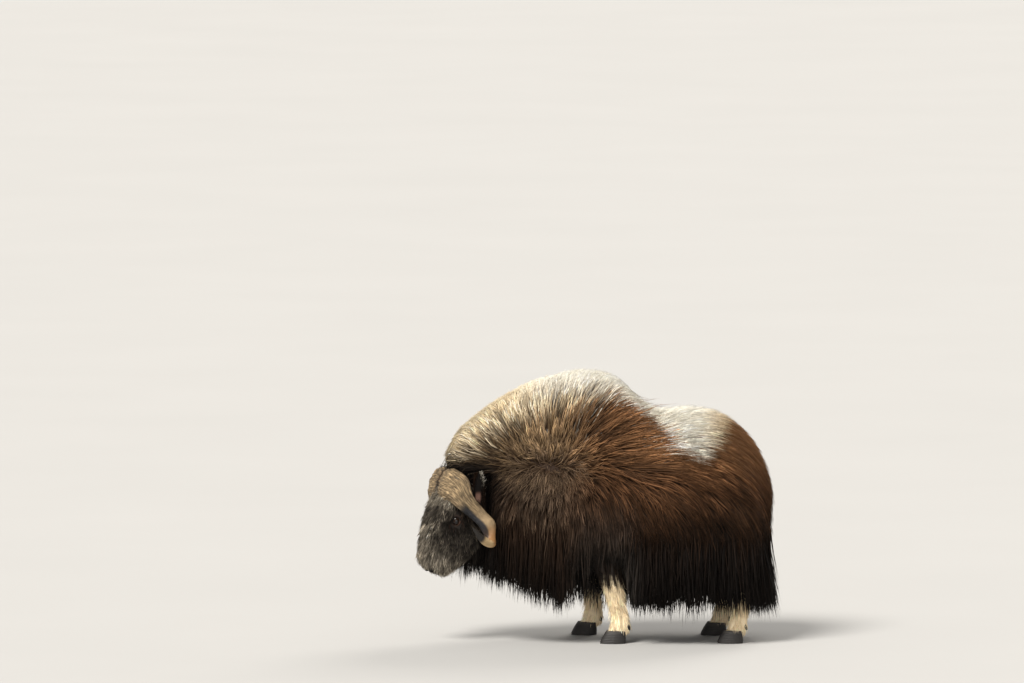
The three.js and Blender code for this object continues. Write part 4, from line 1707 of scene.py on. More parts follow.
    def skin(self) -> Solid:
        """The head's surface with brows, cheeks, eye hollows, nostril hollows and the lips' line.

        Returns:
            The surface with its markings.
        """
        solid = self.loft.grid(144, 150, self.skin_depth)
        p = solid.points
        outward = unit(p * (0, 1, 1) - np.array([0.0, 0.0, -0.06]))
        brow = self.swell(p, self.brow, self.brow_size)
        cheek = self.swell(p, self.cheek, self.cheek_size)
        p += outward * (self.brow_height * brow + self.cheek_height * cheek)[:, None]
        line = np.abs(p[:, 2] - self.mouth_height(p[:, 0]))
        reach = smooth(0.10, 0.125, p[:, 0])
        groove = hump_at(line, 0.0, 0.0032) * reach
        lips = hump_at(line, 0.010, 0.007) * reach
        p += outward * (self.lip_height * lips - self.mouth_depth * groove)[:, None]
        socket = self.eye_radius + self.eye_gap
        for hand in Hand:
            centre = self.eye_centre(hand)
            away = p - centre
            far = np.linalg.norm(away, axis=1, keepdims=True)
            facing = dot(away, self.look_at(hand))
            p[:] = np.where((far < socket) & (facing > 0), centre + away / far * socket, p)
            slit = (far < 0.034) & (facing > 0.012)
            p[:] = np.where(slit, centre + away / far * (self.eye_radius - 0.006), p)
            hollow = p - np.array(self.nostril) * (1, hand.value, 1)
            depth = np.exp(-(np.linalg.norm(hollow / self.nostril_reach, axis=1) ** 2))
            p -= depth[:, None] * self.nostril_depth * unit(np.array([0.8, hand.value * 0.5, 0.1]))
        root, tip = self.tones(p, np.random.default_rng(self.seed))
        tone = blend(root, tip, np.full(len(p), 0.45))
        # Black along the line between the lips: painted shade in the groove.
        return solid.painted(blend(tone, PALETTE.black, groove * 0.85))

    def lids(self, hand: Hand) -> Solid:
        """The lids round one eye: a thick rim at the slit that runs out under the skin.

        Args:
            hand: Which eye.

        Returns:
            The lids.
        """
        around, rings = 72, 14
        look, centre = self.look_at(hand), self.eye_centre(hand)
        along, across = self.lid_axes(hand)
        angle = ring_angles(around)
        sine, cosine = np.sin(angle), np.cos(angle)
        long, high = self.lid_opening
        slit = np.hypot(long * cosine, high * sine * (1 + 0.12 * sine))
        start = np.arcsin(slit / self.eye_radius * 0.98)
        points, tones = [], []
        for share in np.arange(rings) / (rings - 1):
            polar = start + (math.radians(98) - start) * share**1.4
            rim = self.lid_rim * smooth(0.0, 0.16, share)
            crease = self.lid_crease * hump_at(share, 0.42, 0.09)
            sunk = self.lid_edge_sink * smooth(0.6, 1.0, share)
            radius = self.eye_radius + 0.0006 + rim - crease - sunk
            way = np.outer(np.cos(polar), look)
            way += (np.sin(polar) * cosine)[:, None] * along
            way += (np.sin(polar) * sine)[:, None] * across
            points.append(centre + way * radius)
            warm = smooth(0.0, 0.14, share) * smooth(-0.2, 0.9, cosine - sine * hand.value)
            tones.append(blend(PALETTE.black, PALETTE.bare, warm))
        solid = Solid(np.vstack(points), Solid.bands(around, rings)).painted(np.vstack(tones))
        return solid.facing(solid.points[0] - centre)

    def nostril_rim(self, hand: Hand) -> Solid:
        """The bare rim and dark hollow of one nostril.

        Args:
            hand: Which nostril.

        Returns:
            The rim.
        """
        around = 40
        centre = np.array(self.nostril) * (1, hand.value, 1)
        out = unit(np.array([0.86, hand.value * 0.45, 0.16]))
        along = unit(np.cross(out, (0.0, 0.35 * hand.value, 1.0)))
        across = np.cross(out, along)
        angle = ring_angles(around)
        comma = 1 + 0.25 * np.cos(angle - 0.8)
        long, high = self.nostril_size
        points, tones = [], []
        for size, height in self.nostril_rows:
            reach = np.outer(long * size * comma * np.cos(angle), along)
            reach += np.outer(high * size * comma * np.sin(angle), across)
            points.append(centre + reach + out * height)
            # The inner rings darker: painted shade in the hollow of the nostril.
            dark = np.full(around, 1.0 if size < 0.9 else 0.45)
            tones.append(blend(PALETTE.slate, PALETTE.black, dark))
        faces = Solid.bands(around, len(self.nostril_rows))
        return Solid(np.vstack(points), faces).painted(np.vstack(tones)).facing(out)

    def flow_face(self, p: Array) -> Array:
        """The lie of the face's hair: down the bridge, and down and back over the cheeks.

        Args:
            p: The places.

        Returns:
            A direction for each.
        """
        crown = smooth(-0.06, 0.06, p[:, 2])
        down = np.array([0.62, 0.0, -0.78])
        ahead = np.array([1.0, 0.0, -0.3])
        return unit(blend(down, ahead, crown))

    def unwrap(self, u: Array, v: Array) -> Array:
        """Places on the unwrap of the skin for points of the head."""
        return np.column_stack([0.01 + 0.42 * u, 0.01 + 0.38 * turn_of(v)])

    def clear_of_eyes(self, strands: Strands) -> Strands:
        """Leaves out tufts that would cross an eye.

        Args:
            strands: The tufts.

        Returns:
            Those that stay.
        """
        free = np.ones(len(strands.spines), bool)
        for hand in Hand:
            away = strands.spines - self.eye_centre(hand)
            facing = dot(away, self.look_at(hand))
            aside = np.linalg.norm(away - facing * self.look_at(hand), axis=-1)
            free &= ~((aside < self.eye_radius + 0.003) & (facing[..., 0] > 0)).any(axis=1)
        return strands.kept(free)

    def short_coat(self) -> Strands:
        """Short fur of the face, longer towards the cheeks and throat.

        Returns:
            The tufts.
        """
        rng = np.random.default_rng(self.seed + 1)

        def weight(p: Array, v: Array) -> Array:
            """Denser on the face than at the back of the head; none on eyes and nostrils.

            Args:
                p: The places.
                v: Their angles; not used.

            Returns:
                A weight for each.
            """
            clear = np.ones(len(p))
            for hand in Hand:
                clear *= smooth(0.027, 0.034, np.linalg.norm(p - self.eye_centre(hand), axis=1))
                nose = p - np.array(self.nostril) * (1, hand.value, 1)
                clear *= smooth(0.016, 0.026, np.linalg.norm(nose, axis=1))
            return (0.25 + smooth(-0.2, 0.0, p[:, 0])) * clear

        hair = self.short_hair
        u, v = self.loft.sample(hair.count, weight, rng)
        p = self.loft.point(u, v, self.skin_depth)
        back = smooth(0.10, -0.10, p[:, 0])
        low = smooth(-0.14, -0.21, p[:, 2])
        bridge = smooth(0.0, 0.07, p[:, 2])
        throat = low * smooth(0.22, 0.05, p[:, 0])
        length = self.face_length + 0.020 * back + 0.018 * bridge + self.throat_longer * throat
        length = length * rng.uniform(0.7, 1.3, len(p))
        stand = -0.006 - 0.010 * bridge * smooth(0.27, 0.20, p[:, 0])
        root_inset = self.skin_depth + 0.002
        lay = Lay(self.flow_face, root_inset, stand, hair.steps, hang_slope=-2.0, stray=0.3)
        grown = grow(self.loft, u, v, length, lay, rng)
        tones = self.tones(p, rng)
        width = np.clip(length * 0.075, hair.width, 0.0032)
        strands = hair.tufts(grown, tones, self.unwrap(u, v), rng, width=width)
        return self.clear_of_eyes(strands).moved(self.matrix)

    def long_coat(self) -> Strands:
        """Fringe under the boss, beard along the jaw and the pale tuft behind the boss.

        Returns:
            The tufts.
        """
        rng = np.random.default_rng(self.seed + 2)

        def weight(p: Array, v: Array) -> Array:
            """Where long hair stands on the head.

            Args:
                p: The places.
                v: Their angles; not used.

            Returns:
                A weight for each.
            """
            fringe = smooth(-0.11, -0.085, p[:, 0]) * (1 - smooth(-0.05, -0.02, p[:, 0]))
            fringe = fringe * smooth(0.03, 0.08, p[:, 2]) * 2.2
            beard = smooth(-0.175, -0.21, p[:, 2]) * smooth(0.16, 0.05, p[:, 0])
            nape = smooth(-0.12, -0.19, p[:, 0]) * 1.5
            return 1e-4 + fringe + beard + nape

        hair = self.long_hair
        u, v = self.loft.sample(hair.count, weight, rng)
        p = self.loft.point(u, v, self.skin_depth)
        crown = smooth(0.0, 0.06, p[:, 2])
        nape = smooth(-0.12, -0.18, p[:, 0])
        length = self.beard_length - self.crown_shorter * crown + self.nape_longer * nape
        length = length * rng.uniform(0.65, 1.2, len(p))
        root_inset = self.skin_depth + 0.004
        lay = Lay(self.flow_face, root_inset, -0.012, hair.steps, fall=self.down, stray=0.25)
        grown = grow(self.loft, u, v, length, lay, rng)
        root, tip = self.tones(p, rng)
        pale = nape * crown * rng.uniform(0.4, 1.0, len(p))
        tones = (root, blend(tip, PALETTE.white, pale))
        strands = hair.tufts(grown, tones, self.unwrap(u, v), rng)
        return self.clear_of_eyes(strands).moved(self.matrix)


@dataclass
class Ear:
    """One ear: a leaf with a cup, edged with long pale hair."""

    hand: Hand
    head: Head
    root: tuple[float, float, float] = (-0.119, 0.119, -0.075)
    tip: tuple[float, float, float] = (-0.266, 0.201, 0.043)
    wide: float = 0.027
    thick: float = 0.012
    wall: float = 0.004
    # Shares of the length and the width of the leaf there.
    outline: tuple = ((0, 0.5), (0.2, 0.85), (0.45, 1), (0.7, 0.82), (0.9, 0.45), (1, 0.05))
    face: tuple[float, float, float] = (0.45, 0.75, -0.1)
    tufts: int = 420
    tuft_length: tuple[float, float] = (0.018, 0.042)

    def __post_init__(self) -> None:
        """Works out the ear's own axes."""
        flip = np.array([1.0, self.hand.value, 1.0])
        self.start, self.end = np.array(self.root) * flip, np.array(self.tip) * flip
        self.along = unit(self.end - self.start)
        out = np.array(self.face) * flip
        self.out = square_to(self.along, out)
        self.across = np.cross(self.along, self.out)

    def point(self, s: Array, t: Array, depth: float) -> Array:
        """Points of the leaf, on a sheet at some depth.

        Args:
            s: Places along it, from 0 to 1.
            t: Places across it, from -1 to 1.
            depth: How deep each lies behind the inner side.

        Returns:
            One point for each place.
        """
        half = self.wide * np.interp(s, *np.array(self.outline).T)
        scoop = (1 - t**2) * self.thick * 1.25 * np.sin(np.pi * np.clip(s, 0, 1)) ** 0.6
        place = self.start + np.multiply.outer(s, self.end - self.start)
        place = place + (half * t)[:, None] * self.across
        return place + (self.thick * 0.85 - scoop - depth)[:, None] * self.out

    def leaf(self) -> Solid:
        """Both sides of the leaf, closed at its rim.

        Returns:
            The leaf.
        """
        rows, columns = 22, 15
        grid = np.meshgrid(np.linspace(0, 1, rows), np.linspace(-1, 1, columns), indexing="ij")
        s, t = (a.ravel() for a in grid)
        edge = self.wall * np.sqrt(np.clip(1 - t**4, 0, 1))
        inner, outer = self.point(s, t, 0.0 * t), self.point(s, t, 2 * edge)
        faces, count = [], len(s)
        for k in range(rows - 1):
            for a in range(k * columns, (k + 1) * columns - 1):
                b = a + columns
                faces.append((a, b, b + 1, a + 1))
                faces.append((count + a, count + a + 1, count + b + 1, count + b))
        solid = Solid(np.vstack([inner, outer]), faces)
        bare = smooth(0.8, 0.3, np.abs(t)) * smooth(0.05, 0.15, s) * smooth(0.45, 0.30, s)
        solid.painted(np.vstack([blend(PALETTE.black, PALETTE.pink, bare)] * 2))
        solid.tone[count:] = PALETTE.black
        if self.hand is Hand.LEFT:
            solid.faces = [face[::-1] for face in faces]
        return solid.moved(self.head.matrix)

    def fringe(self) -> Strands:
        """Long pale hair along the rim and in the cup.

        Returns:
            The tufts.
        """
        rng = np.random.default_rng(40 + self.hand.value)
        count = self.tufts
        s = rng.uniform(0.05, 0.98, count)
        t = np.sign(rng.uniform(-1, 1, count)) * rng.uniform(0.3, 1, count) ** 0.4
        root = self.point(s, t, 0.001 * np.ones(count))
        way = unit(self.along * 0.9 + np.multiply.outer(t, self.across) * 0.3 + self.out * 0.2)
        way = unit(way + rng.normal(0, 0.15, (count, 3)))
        length = rng.uniform(*self.tuft_length, count)
        steps = np.linspace(0, 1, 4)
        droop = np.array(self.head.down)
        spines = root[:, None] + way[:, None] * (length[:, None] * steps)[..., None]
        spines = spines + droop * (length[:, None] * 0.25 * steps**2)[..., None]
        normals = np.tile(self.out, (count, 4, 1))
        rearward = np.array(REARWARD) * (1, self.hand.value, 1)
        outer = t * np.sign(self.across @ rearward) > -0.2
        pale = smooth(0.45, 0.75, s) * outer * (rng.uniform(0, 1, count) < 0.7)
        root_tone = blend(PALETTE.black, PALETTE.ash, pale)
        tip_tone = blend(PALETTE.umber, PALETTE.white, pale)
        row = 0.05 + 0.05 * (t + 1) + 0.12 * (self.hand.value + 1)
        place = np.column_stack([0.46 + 0.05 * s, row])
        width = np.full(count, 0.0016)
        return Strands(spines, normals, width, root_tone, tip_tone, place).moved(self.head.matrix)


@dataclass
class Horn:
    """One horn: the broad boss, the drop beside the cheek and the upturned hook."""

    hand: Hand
    head: Head
    # Stations: the middle, half the breadth and half the thickness.
    rows: tuple = (
        ((-0.150, -0.006, 0.091), 0.084, 0.042),
        ((-0.152, 0.070, 0.093), 0.086, 0.044),
        ((-0.144, 0.130, 0.068), 0.074, 0.041),
        ((-0.098, 0.176, 0.016), 0.047, 0.036),
        ((-0.070, 0.208, -0.056), 0.039, 0.032),
        ((-0.037, 0.240, -0.120), 0.041, 0.033),
        ((0.034, 0.264, -0.157), 0.034, 0.031),
        ((0.041, 0.284, -0.105), 0.020, 0.018),
        ((0.014, 0.300, -0.010), 0.005, 0.005),
    )
    slope: tuple[float, float, float] = (-0.97, 0.0, 0.2)
    groove: float = 0.004
    # Size and number of the waves round the boss.
    ridges: tuple = ((1.0, 9), (0.8, 17), (0.6, 29), (0.5, 43))
    ridge_height: float = 0.0019
    ring_height: float = 0.0007
    seed: int = 12

    def loft(self) -> Loft:
        """The horn's body along its path.

        Returns:
            The body.
        """
        centre = np.array([row[0] for row in self.rows])
        t = np.linspace(0, 1, len(centre))
        ahead = unit(spline(centre, t + 1e-3) - spline(centre, t - 1e-3))
        ahead[0], ahead[-1] = unit(centre[1] - centre[0]), unit(centre[-1] - centre[-2])
        slope = np.array(self.slope)
        broad = unit(slope - dot(slope[None], ahead) * ahead)
        thin = np.cross(ahead, broad)
        sizes = np.array([row[1:] for row in self.rows])
        return Loft(centre, broad * sizes[:, :1], thin * sizes[:, 1:], ends=(0.02, 0.05), power=0.9)

    def build(self) -> Solid:
        """The horn with coarse ridges on the boss and a smooth hook.

        Returns:
            The horn.
        """
        rng, ways = np.random.default_rng(self.seed), len(self.ridges)
        body = self.loft()
        solid = body.grid(96, 190)
        u, turn = solid.uv[:, 0], solid.uv[:, 1] * 2 * np.pi
        out = unit(solid.points - spline(body.centre, u))
        rough = 1 - smooth(0.30, 0.62, u)
        waves = sum(
            size * np.sin(count * turn + drift * u * 9 + phase)
            for (size, count), drift, phase in zip(
                self.ridges, rng.uniform(-1, 1, ways), rng.uniform(0, 6, ways)
            )
        )
        rings = np.sin(u * 150 + 1.2 * np.sin(3 * turn)) * (1 - smooth(0.45, 0.75, u))
        relief = self.ridge_height * rough * waves + self.ring_height * rings
        solid.points = solid.points + out * relief[:, None]
        solid.points[:, 1] = np.maximum(solid.points[:, 1], self.groove)
        c = PALETTE
        # The shaft is tan on the side towards REARWARD and dark bluish grey on the other: painted light, and
        # painted shade with a painted sky reflection; the amber of the bend lies mostly on the lit side.
        rear = smooth(-0.42, -0.08, out @ np.array(REARWARD))
        shaft = smooth(0.33, 0.42, u)
        tone = blend(c.tan, blend(c.horn_shade, c.tan, rear), shaft)
        bend = smooth(0.60, 0.72, u)
        tone = blend(tone, c.amber, bend * (0.15 + 0.85 * rear))
        tone = blend(tone, c.ivory, smooth(0.76, 0.82, u))
        tone = blend(tone, c.horn_tip, smooth(0.865, 0.90, u))
        # Darker along the groove where the two bosses meet: painted shade in the crease.
        edge = hump_at(solid.points[:, 1], self.groove, 0.020)
        solid.painted(blend(tone, c.umber, edge * 0.8))
        if self.hand is Hand.RIGHT:
            solid.points = solid.points * (1, -1, 1)
            solid.faces = [face[::-1] for face in solid.faces]
        return solid.moved(self.head.matrix)


@dataclass
class Eye:
    """One eyeball with its iris and long pupil."""

    hand: Hand
    head: Head
    swell: float = 0.0012
    level: tuple[float, float, float] = (1.0, 0.0, -0.1)

    def build(self) -> Solid:
        """The ball, its pole towards what it looks at, with a slight swell over the iris.

        Returns:
            The ball.
        """
        around, rings = 48, 40
        look = self.head.look_at(self.hand)
        along = square_to(look, np.array(self.level))
        across = np.cross(look, along)
        polar = np.pi * np.arange(1, rings) / rings
        pp, aa = (a.ravel() for a in np.meshgrid(polar, ring_angles(around), indexing="ij"))
        radius = self.head.eye_radius + self.swell * hump_at(pp, 0.0, 0.55)
        x, y = np.sin(pp) * np.cos(aa), np.sin(pp) * np.sin(aa)
        way = np.outer(np.cos(pp), look) + np.outer(x, along) + np.outer(y, across)
        centre = self.head.eye_centre(self.hand)
        front, back = self.head.eye_radius + self.swell, self.head.eye_radius
        poles = centre + np.array([look * front, -look * back])
        solid = Solid.tube(centre + way * radius[:, None], around, rings - 1, poles)
        iris = smooth(0.74, 0.68, pp)
        pupil = smooth(1.12, 0.95, np.hypot(x / 0.42, y / 0.24))
        tone = blend(PALETTE.eyeball, PALETTE.iris, iris)
        tone = blend(tone, PALETTE.pupil, pupil * (np.cos(pp) > 0))
        tone = np.vstack([tone, PALETTE.pupil, PALETTE.eye_back])
        return solid.painted(tone).facing(solid.points[0] - centre).moved(self.head.matrix)


@dataclass(frozen=True)
class LegPlan:
    """Where one leg stands and how it is slanted."""

    name: str
    front: bool
    x: float
    y: float
    slant: float
    seed: int


LEGS = (
    LegPlan("front_left", True, 0.024, -0.205, 0.026, 5),
    LegPlan("front_right", True, -0.040, 0.205, -0.060, 17),
    LegPlan("hind_left", False, 0.700, -0.190, 0.0, 23),
    LegPlan("hind_right", False, 0.640, 0.190, -0.020, 31),
)


@dataclass
class Leg:
    """One leg: shaggy above, with a short pale stocking below and two toes."""

    plan: LegPlan
    # Stations of a front and a hind leg: shift along x, height, half length and half width.
    front: tuple = (
        (-0.020, 0.640, 0.120, 0.092),
        (0.0, 0.520, 0.108, 0.090),
        (0.014, 0.410, 0.088, 0.076),
        (0.026, 0.310, 0.066, 0.060),
        (0.042, 0.210, 0.056, 0.050),
        (0.056, 0.125, 0.055, 0.050),
        (0.052, 0.062, 0.060, 0.054),
        (0.040, 0.022, 0.050, 0.046),
    )
    hind: tuple = (
        (-0.020, 0.640, 0.150, 0.100),
        (0.0, 0.520, 0.118, 0.092),
        (0.028, 0.410, 0.086, 0.070),
        (0.040, 0.310, 0.066, 0.056),
        (0.030, 0.210, 0.054, 0.048),
        (0.016, 0.125, 0.052, 0.048),
        (0.004, 0.062, 0.058, 0.054),
        (-0.006, 0.022, 0.048, 0.046),
    )
    skin_depth: float = 0.012
    fetlock_height: float = 0.005
    low_length: float = 0.030
    upper_longer: float = 0.11
    hair: Hair = Hair(
        1_500, steps=4, width=0.0022, clump=6, pull=0.5, vary=0.16, spread=(0.8, 1.2)
    )
    hoof_length: float = 0.132
    hoof_width: float = 0.060
    hoof_height: float = 0.064
    splay: float = 0.032
    ahead: float = 0.024
    rake: float = 0.016
    claw_sizes: tuple[float, ...] = (0.009, 0.011, 0.009, 0.003)

    def __post_init__(self) -> None:
        """Makes the leg's outline from its stations."""
        lean, z, fore, side = np.array(self.front if self.plan.front else self.hind).T
        x = self.plan.x + lean + self.plan.slant * (z[0] - z) / z[0]
        y = np.full(len(z), self.plan.y)
        self.loft = Loft.of_stations((x, y, z), fore, side, 0, ends=(0.10, 0.08), power=0.95)

    def tones(self, p: Array, rng: np.random.Generator) -> tuple[Array, Array]:
        """Colours of the leg's hair, from its height above the ground.

        Args:
            p: The places.
            rng: The source of random numbers.

        Returns:
            The root colours and the tip colours.
        """
        c = PALETTE
        height = p[:, 2] + rng.normal(0, 0.012, len(p))
        dark = smooth(0.29, 0.36, height)
        root = blend(blend(c.stocking, c.beige, np.full(len(p), 0.5)), c.black, dark)
        tip = blend(c.stocking, blend(c.umber, c.slate, rng.uniform(0, 1, len(p))), dark)
        return root, tip

    def skin(self) -> Solid:
        """The leg's surface, with knee, tendons and fetlock.

        Returns:
            The surface with its markings.
        """
        solid = self.loft.grid(48, 64, self.skin_depth)
        p = solid.points
        axis = spline(self.loft.centre, solid.uv[:, 0])
        out = unit((p - axis) * (1, 1, 0))
        z = p[:, 2]
        fetlock = hump_at(z, 0.105, 0.022) - 0.6 * hump_at(z, 0.165, 0.05)
        p += out * (self.fetlock_height * fetlock)[:, None]
        root, tip = self.tones(p, np.random.default_rng(self.plan.seed))
        return solid.painted(blend(root, tip, np.full(len(p), 0.6)))

    def unwrap(self, u: Array, v: Array) -> Array:
        """Places on the unwrap of the skin for points of the leg."""
        start = 0.54 + 0.11 * (2 * (self.plan.y > 0) + (not self.plan.front))
        return np.column_stack([start + 0.09 * turn_of(v), 0.01 + 0.38 * u])

    def coat(self) -> Strands:
        """Long dark hair over the upper leg and short pale hair down to the hoof.

        Returns:
            The tufts.
        """
        rng = np.random.default_rng(self.plan.seed + 1)

        def weight(p: Array, v: Array) -> Array:
            """None inside the body, most where the leg shows."""
            return smooth(0.60, 0.50, p[:, 2]) * (0.45 + smooth(0.36, 0.26, p[:, 2]))

        hair = self.hair
        u, v = self.loft.sample(hair.count, weight, rng)
        p = self.loft.point(u, v, self.skin_depth)
        upper = smooth(0.30, 0.44, p[:, 2])
        length = self.low_length + self.upper_longer * upper
        length = length * rng.uniform(0.7, 1.2, len(p))
        length = np.minimum(length, np.maximum(p[:, 2] - 0.045, 0.012))

        def flow(q: Array) -> Array:
            """Down the leg and a little back."""
            return np.tile((0.12, 0.0, -1.0), (len(q), 1))

        root_inset = self.skin_depth + 0.003
        lay = Lay(flow, root_inset, 0.001, steps=hair.steps, hang_slope=-2.0, end_share=0.0)
        grown = grow(self.loft, u, v, length, lay, rng)
        tones = self.tones(p, rng)
        width = hair.width + 0.0024 * upper
        return hair.tufts(grown, tones, self.unwrap(u, v), rng, width=width)

    def toe(self, side: int) -> Solid:
        """One toe: a wall on a flat sole, its straight side facing the other toe.

        Args:
            side: 1 for the toe towards +Y, -1 for the other.

        Returns:
            The toe.
        """
        around, rings = 48, 20
        foot = self.loft.centre[-1]
        centre_x, centre_y = foot[0] - self.ahead, self.plan.y + side * self.splay
        angle = ring_angles(around)
        x, y = np.cos(angle), np.sin(angle)
        inner = np.where(np.sign(y) == -side, 0.86, 1.0)
        point = 1 - 0.22 * np.maximum(0, -x)
        points = []
        for k in range(rings):
            rise = k / (rings - 1)
            narrow = 1 - 0.3 * rise**1.5 + 0.006 * math.sin(k * 2.4)
            px = centre_x + x * self.hoof_length / 2 * narrow + self.rake * rise
            py = centre_y + y * inner * point * self.hoof_width / 2 * narrow
            points.append(np.column_stack([px, py, np.full(around, rise * self.hoof_height)]))
        poles = np.array([points[0].mean(axis=0), points[-1].mean(axis=0) + (0, 0, 0.004)])
        solid = Solid.tube(np.vstack(points), around, rings, poles)
        height = solid.points[:, 2] / self.hoof_height
        tone = blend(PALETTE.hoof, PALETTE.slate, smooth(0.7, 1.0, height) * 0.7)
        return solid.painted(tone).outward()

    def dewclaw(self, side: int) -> Solid:
        """One of the two small claws behind the fetlock.

        Args:
            side: 1 for the claw towards +Y, -1 for the other.

        Returns:
            The claw.
        """
        foot = self.loft.centre[-2]
        start = np.array([foot[0] + 0.036, self.plan.y + side * 0.018, 0.098])
        way = np.array([0.018, side * 0.003, -0.030])
        sizes = np.array(self.claw_sizes)[:, None]
        last = len(sizes) - 1
        rows = [start + way * k / last for k in range(len(sizes))]
        up, across = sizes * (0.8, 0.0, 0.55), sizes * (0.0, 1.0, 0.0)
        body = Loft(rows, up, across, ends=(0.3, 0.1))
        return body.grid(16, 12).painted(PALETTE.hoof).outward()


@dataclass
class Tail:
    """The short tail, hidden under the hair of the rump."""

    # Stations: x, height and half size.
    rows: tuple = (
        (0.805, 0.868, 0.026),
        (0.836, 0.822, 0.028),
        (0.856, 0.762, 0.024),
        (0.866, 0.706, 0.014),
    )

    def skin(self) -> Solid:
        """The tail's surface.

        Returns:
            The surface.
        """
        x, z, size = np.array(self.rows).T
        body = Loft.of_stations((x, 0.0 * x, z), size, size * 1.2, 0, ends=(0.3, 0.3))
        return body.grid(20, 20, 0.004).painted(PALETTE.umber)


class BristleRow:
    """Geometry nodes that set tapering bristles along a line, such as lashes."""

    inputs = (
        ("Line", "NodeSocketGeometry", None),
        ("Count", "NodeSocketInt", 30),
        ("Length", "NodeSocketFloat", 0.012),
        ("Radius", "NodeSocketFloat", 0.0004),
        ("Spread", "NodeSocketFloat", 0.25),
        ("Seed", "NodeSocketInt", 3),
    )

    def __init__(self, material: bpy.types.Material) -> None:
        """Builds the tree.

        Args:
            material: The bristles' finish.
        """
        self.tree = bpy.data.node_groups.new("bristle_row", "GeometryNodeTree")
        self.names = {row[0]: self._input(*row) for row in self.inputs}
        self.tree.interface.new_socket(
            "Bristles", in_out="OUTPUT", socket_type="NodeSocketGeometry"
        )
        start = self.tree.nodes.new("NodeGroupInput").outputs
        vectors = {"data_type": "FLOAT_VECTOR"}
        curve = self._add("GeometryNodeMeshToCurve", {}, Mesh=start["Line"])
        line = self._add("GeometryNodeResampleCurve", {}, Curve=curve[0], Count=start["Count"])
        cone = self._add(
            "GeometryNodeMeshCone",
            {"fill_type": "NONE"},
            Vertices=4,
            Side_Segments=3,
            Radius_Top=0.0,
            Radius_Bottom=start["Radius"],
            Depth=start["Length"],
        )
        out = self._add("GeometryNodeInputNamedAttribute", vectors, Name="out")
        reach = {"Min": (-1, -1, -1), "Max": (1, 1, 1)}
        stray = self._add("FunctionNodeRandomValue", vectors, Seed=start["Seed"], **reach)
        scaled = {"Vector": stray[0], "Scale": start["Spread"]}
        spread = self._add("ShaderNodeVectorMath", {"operation": "SCALE"}, **scaled)
        way = self._add("ShaderNodeVectorMath", {"operation": "ADD"})
        for vector, socket in zip((out[0], spread[0]), way[0].node.inputs):
            self.tree.links.new(vector, socket)
        turn = self._add("FunctionNodeAlignRotationToVector", {"axis": "Z"}, Vector=way[0])
        sizes = {"Min": 0.6, "Max": 1.15, "Seed": start["Seed"]}
        size = self._add("FunctionNodeRandomValue", {"data_type": "FLOAT"}, **sizes)
        placed = self._add(
            "GeometryNodeInstanceOnPoints",
            {},
            Points=line[0],
            Instance=cone[0],
            Rotation=turn[0],
            Scale=size[1],
        )
        real = self._add("GeometryNodeRealizeInstances", {}, Geometry=placed[0])
        made = self._add("GeometryNodeSetMaterial", {}, Geometry=real[0], Material=material)
        self.tree.links.new(made[0], self.tree.nodes.new("NodeGroupOutput").inputs[0])

    def _input(self, name: str, kind: str, value: float | None) -> str:
        """Adds an input.

        Args:
            name: The input's name.
            kind: Its type.
            value: What it holds at first.

        Returns:
            Its identifier.
        """
        socket = self.tree.interface.new_socket(name, in_out="INPUT", socket_type=kind)
        if value is not None:
            socket.default_value = value
        return socket.identifier

    def _add(self, kind: str, settings: dict, **values: object) -> bpy.types.NodeOutputs:
        """Adds a node.

        Args:
            kind: Its type's name.
            settings: Its own settings, set first.
            **values: What its sockets hold or are linked to, by name with _ for spaces.

        Returns:
            The node's outputs.
        """
        node = self.tree.nodes.new(kind)
        for key, value in settings.items():
            setattr(node, key, value)
        for key, value in values.items():
            socket = next(s for s in node.inputs if s.name == key.replace("_", " ") and s.enabled)
            if isinstance(value, bpy.types.NodeSocket):
                self.tree.links.new(value, socket)
            else:
                socket.default_value = value
        return node.outputs

    def along(self, name: str, points: Array, out: Array, **sizes: float) -> bpy.types.Mesh:
        """Makes a plain mesh of bristles.

        Args:
            name: The mesh's name.
            points: The line that they stand on.
            out: The way that they point at each of its points.
            **sizes: Values of the tree's inputs, by name.

        Returns:
            The bristles as a mesh.
        """
        mesh = bpy.data.meshes.new(name + "_line")
        edges = [(k, k + 1) for k in range(len(points) - 1)]
        mesh.from_pydata(points.tolist(), edges, [])
        layer = mesh.attributes.new("out", "FLOAT_VECTOR", "POINT")
        layer.data.foreach_set("vector", out.astype(np.float32).ravel())
        holder = bpy.data.objects.new(name + "_line", mesh)
        bpy.context.scene.collection.objects.link(holder)
        modifier = holder.modifiers.new("bristles", "NODES")
        modifier.node_group = self.tree
        for key, value in sizes.items():
            modifier[self.names[key]] = value
        graph = bpy.context.evaluated_depsgraph_get()
        made = bpy.data.meshes.new_from_object(holder.evaluated_get(graph))
        made.name = name
        holder.modifiers.remove(modifier)
        bpy.data.objects.remove(holder)
        return made


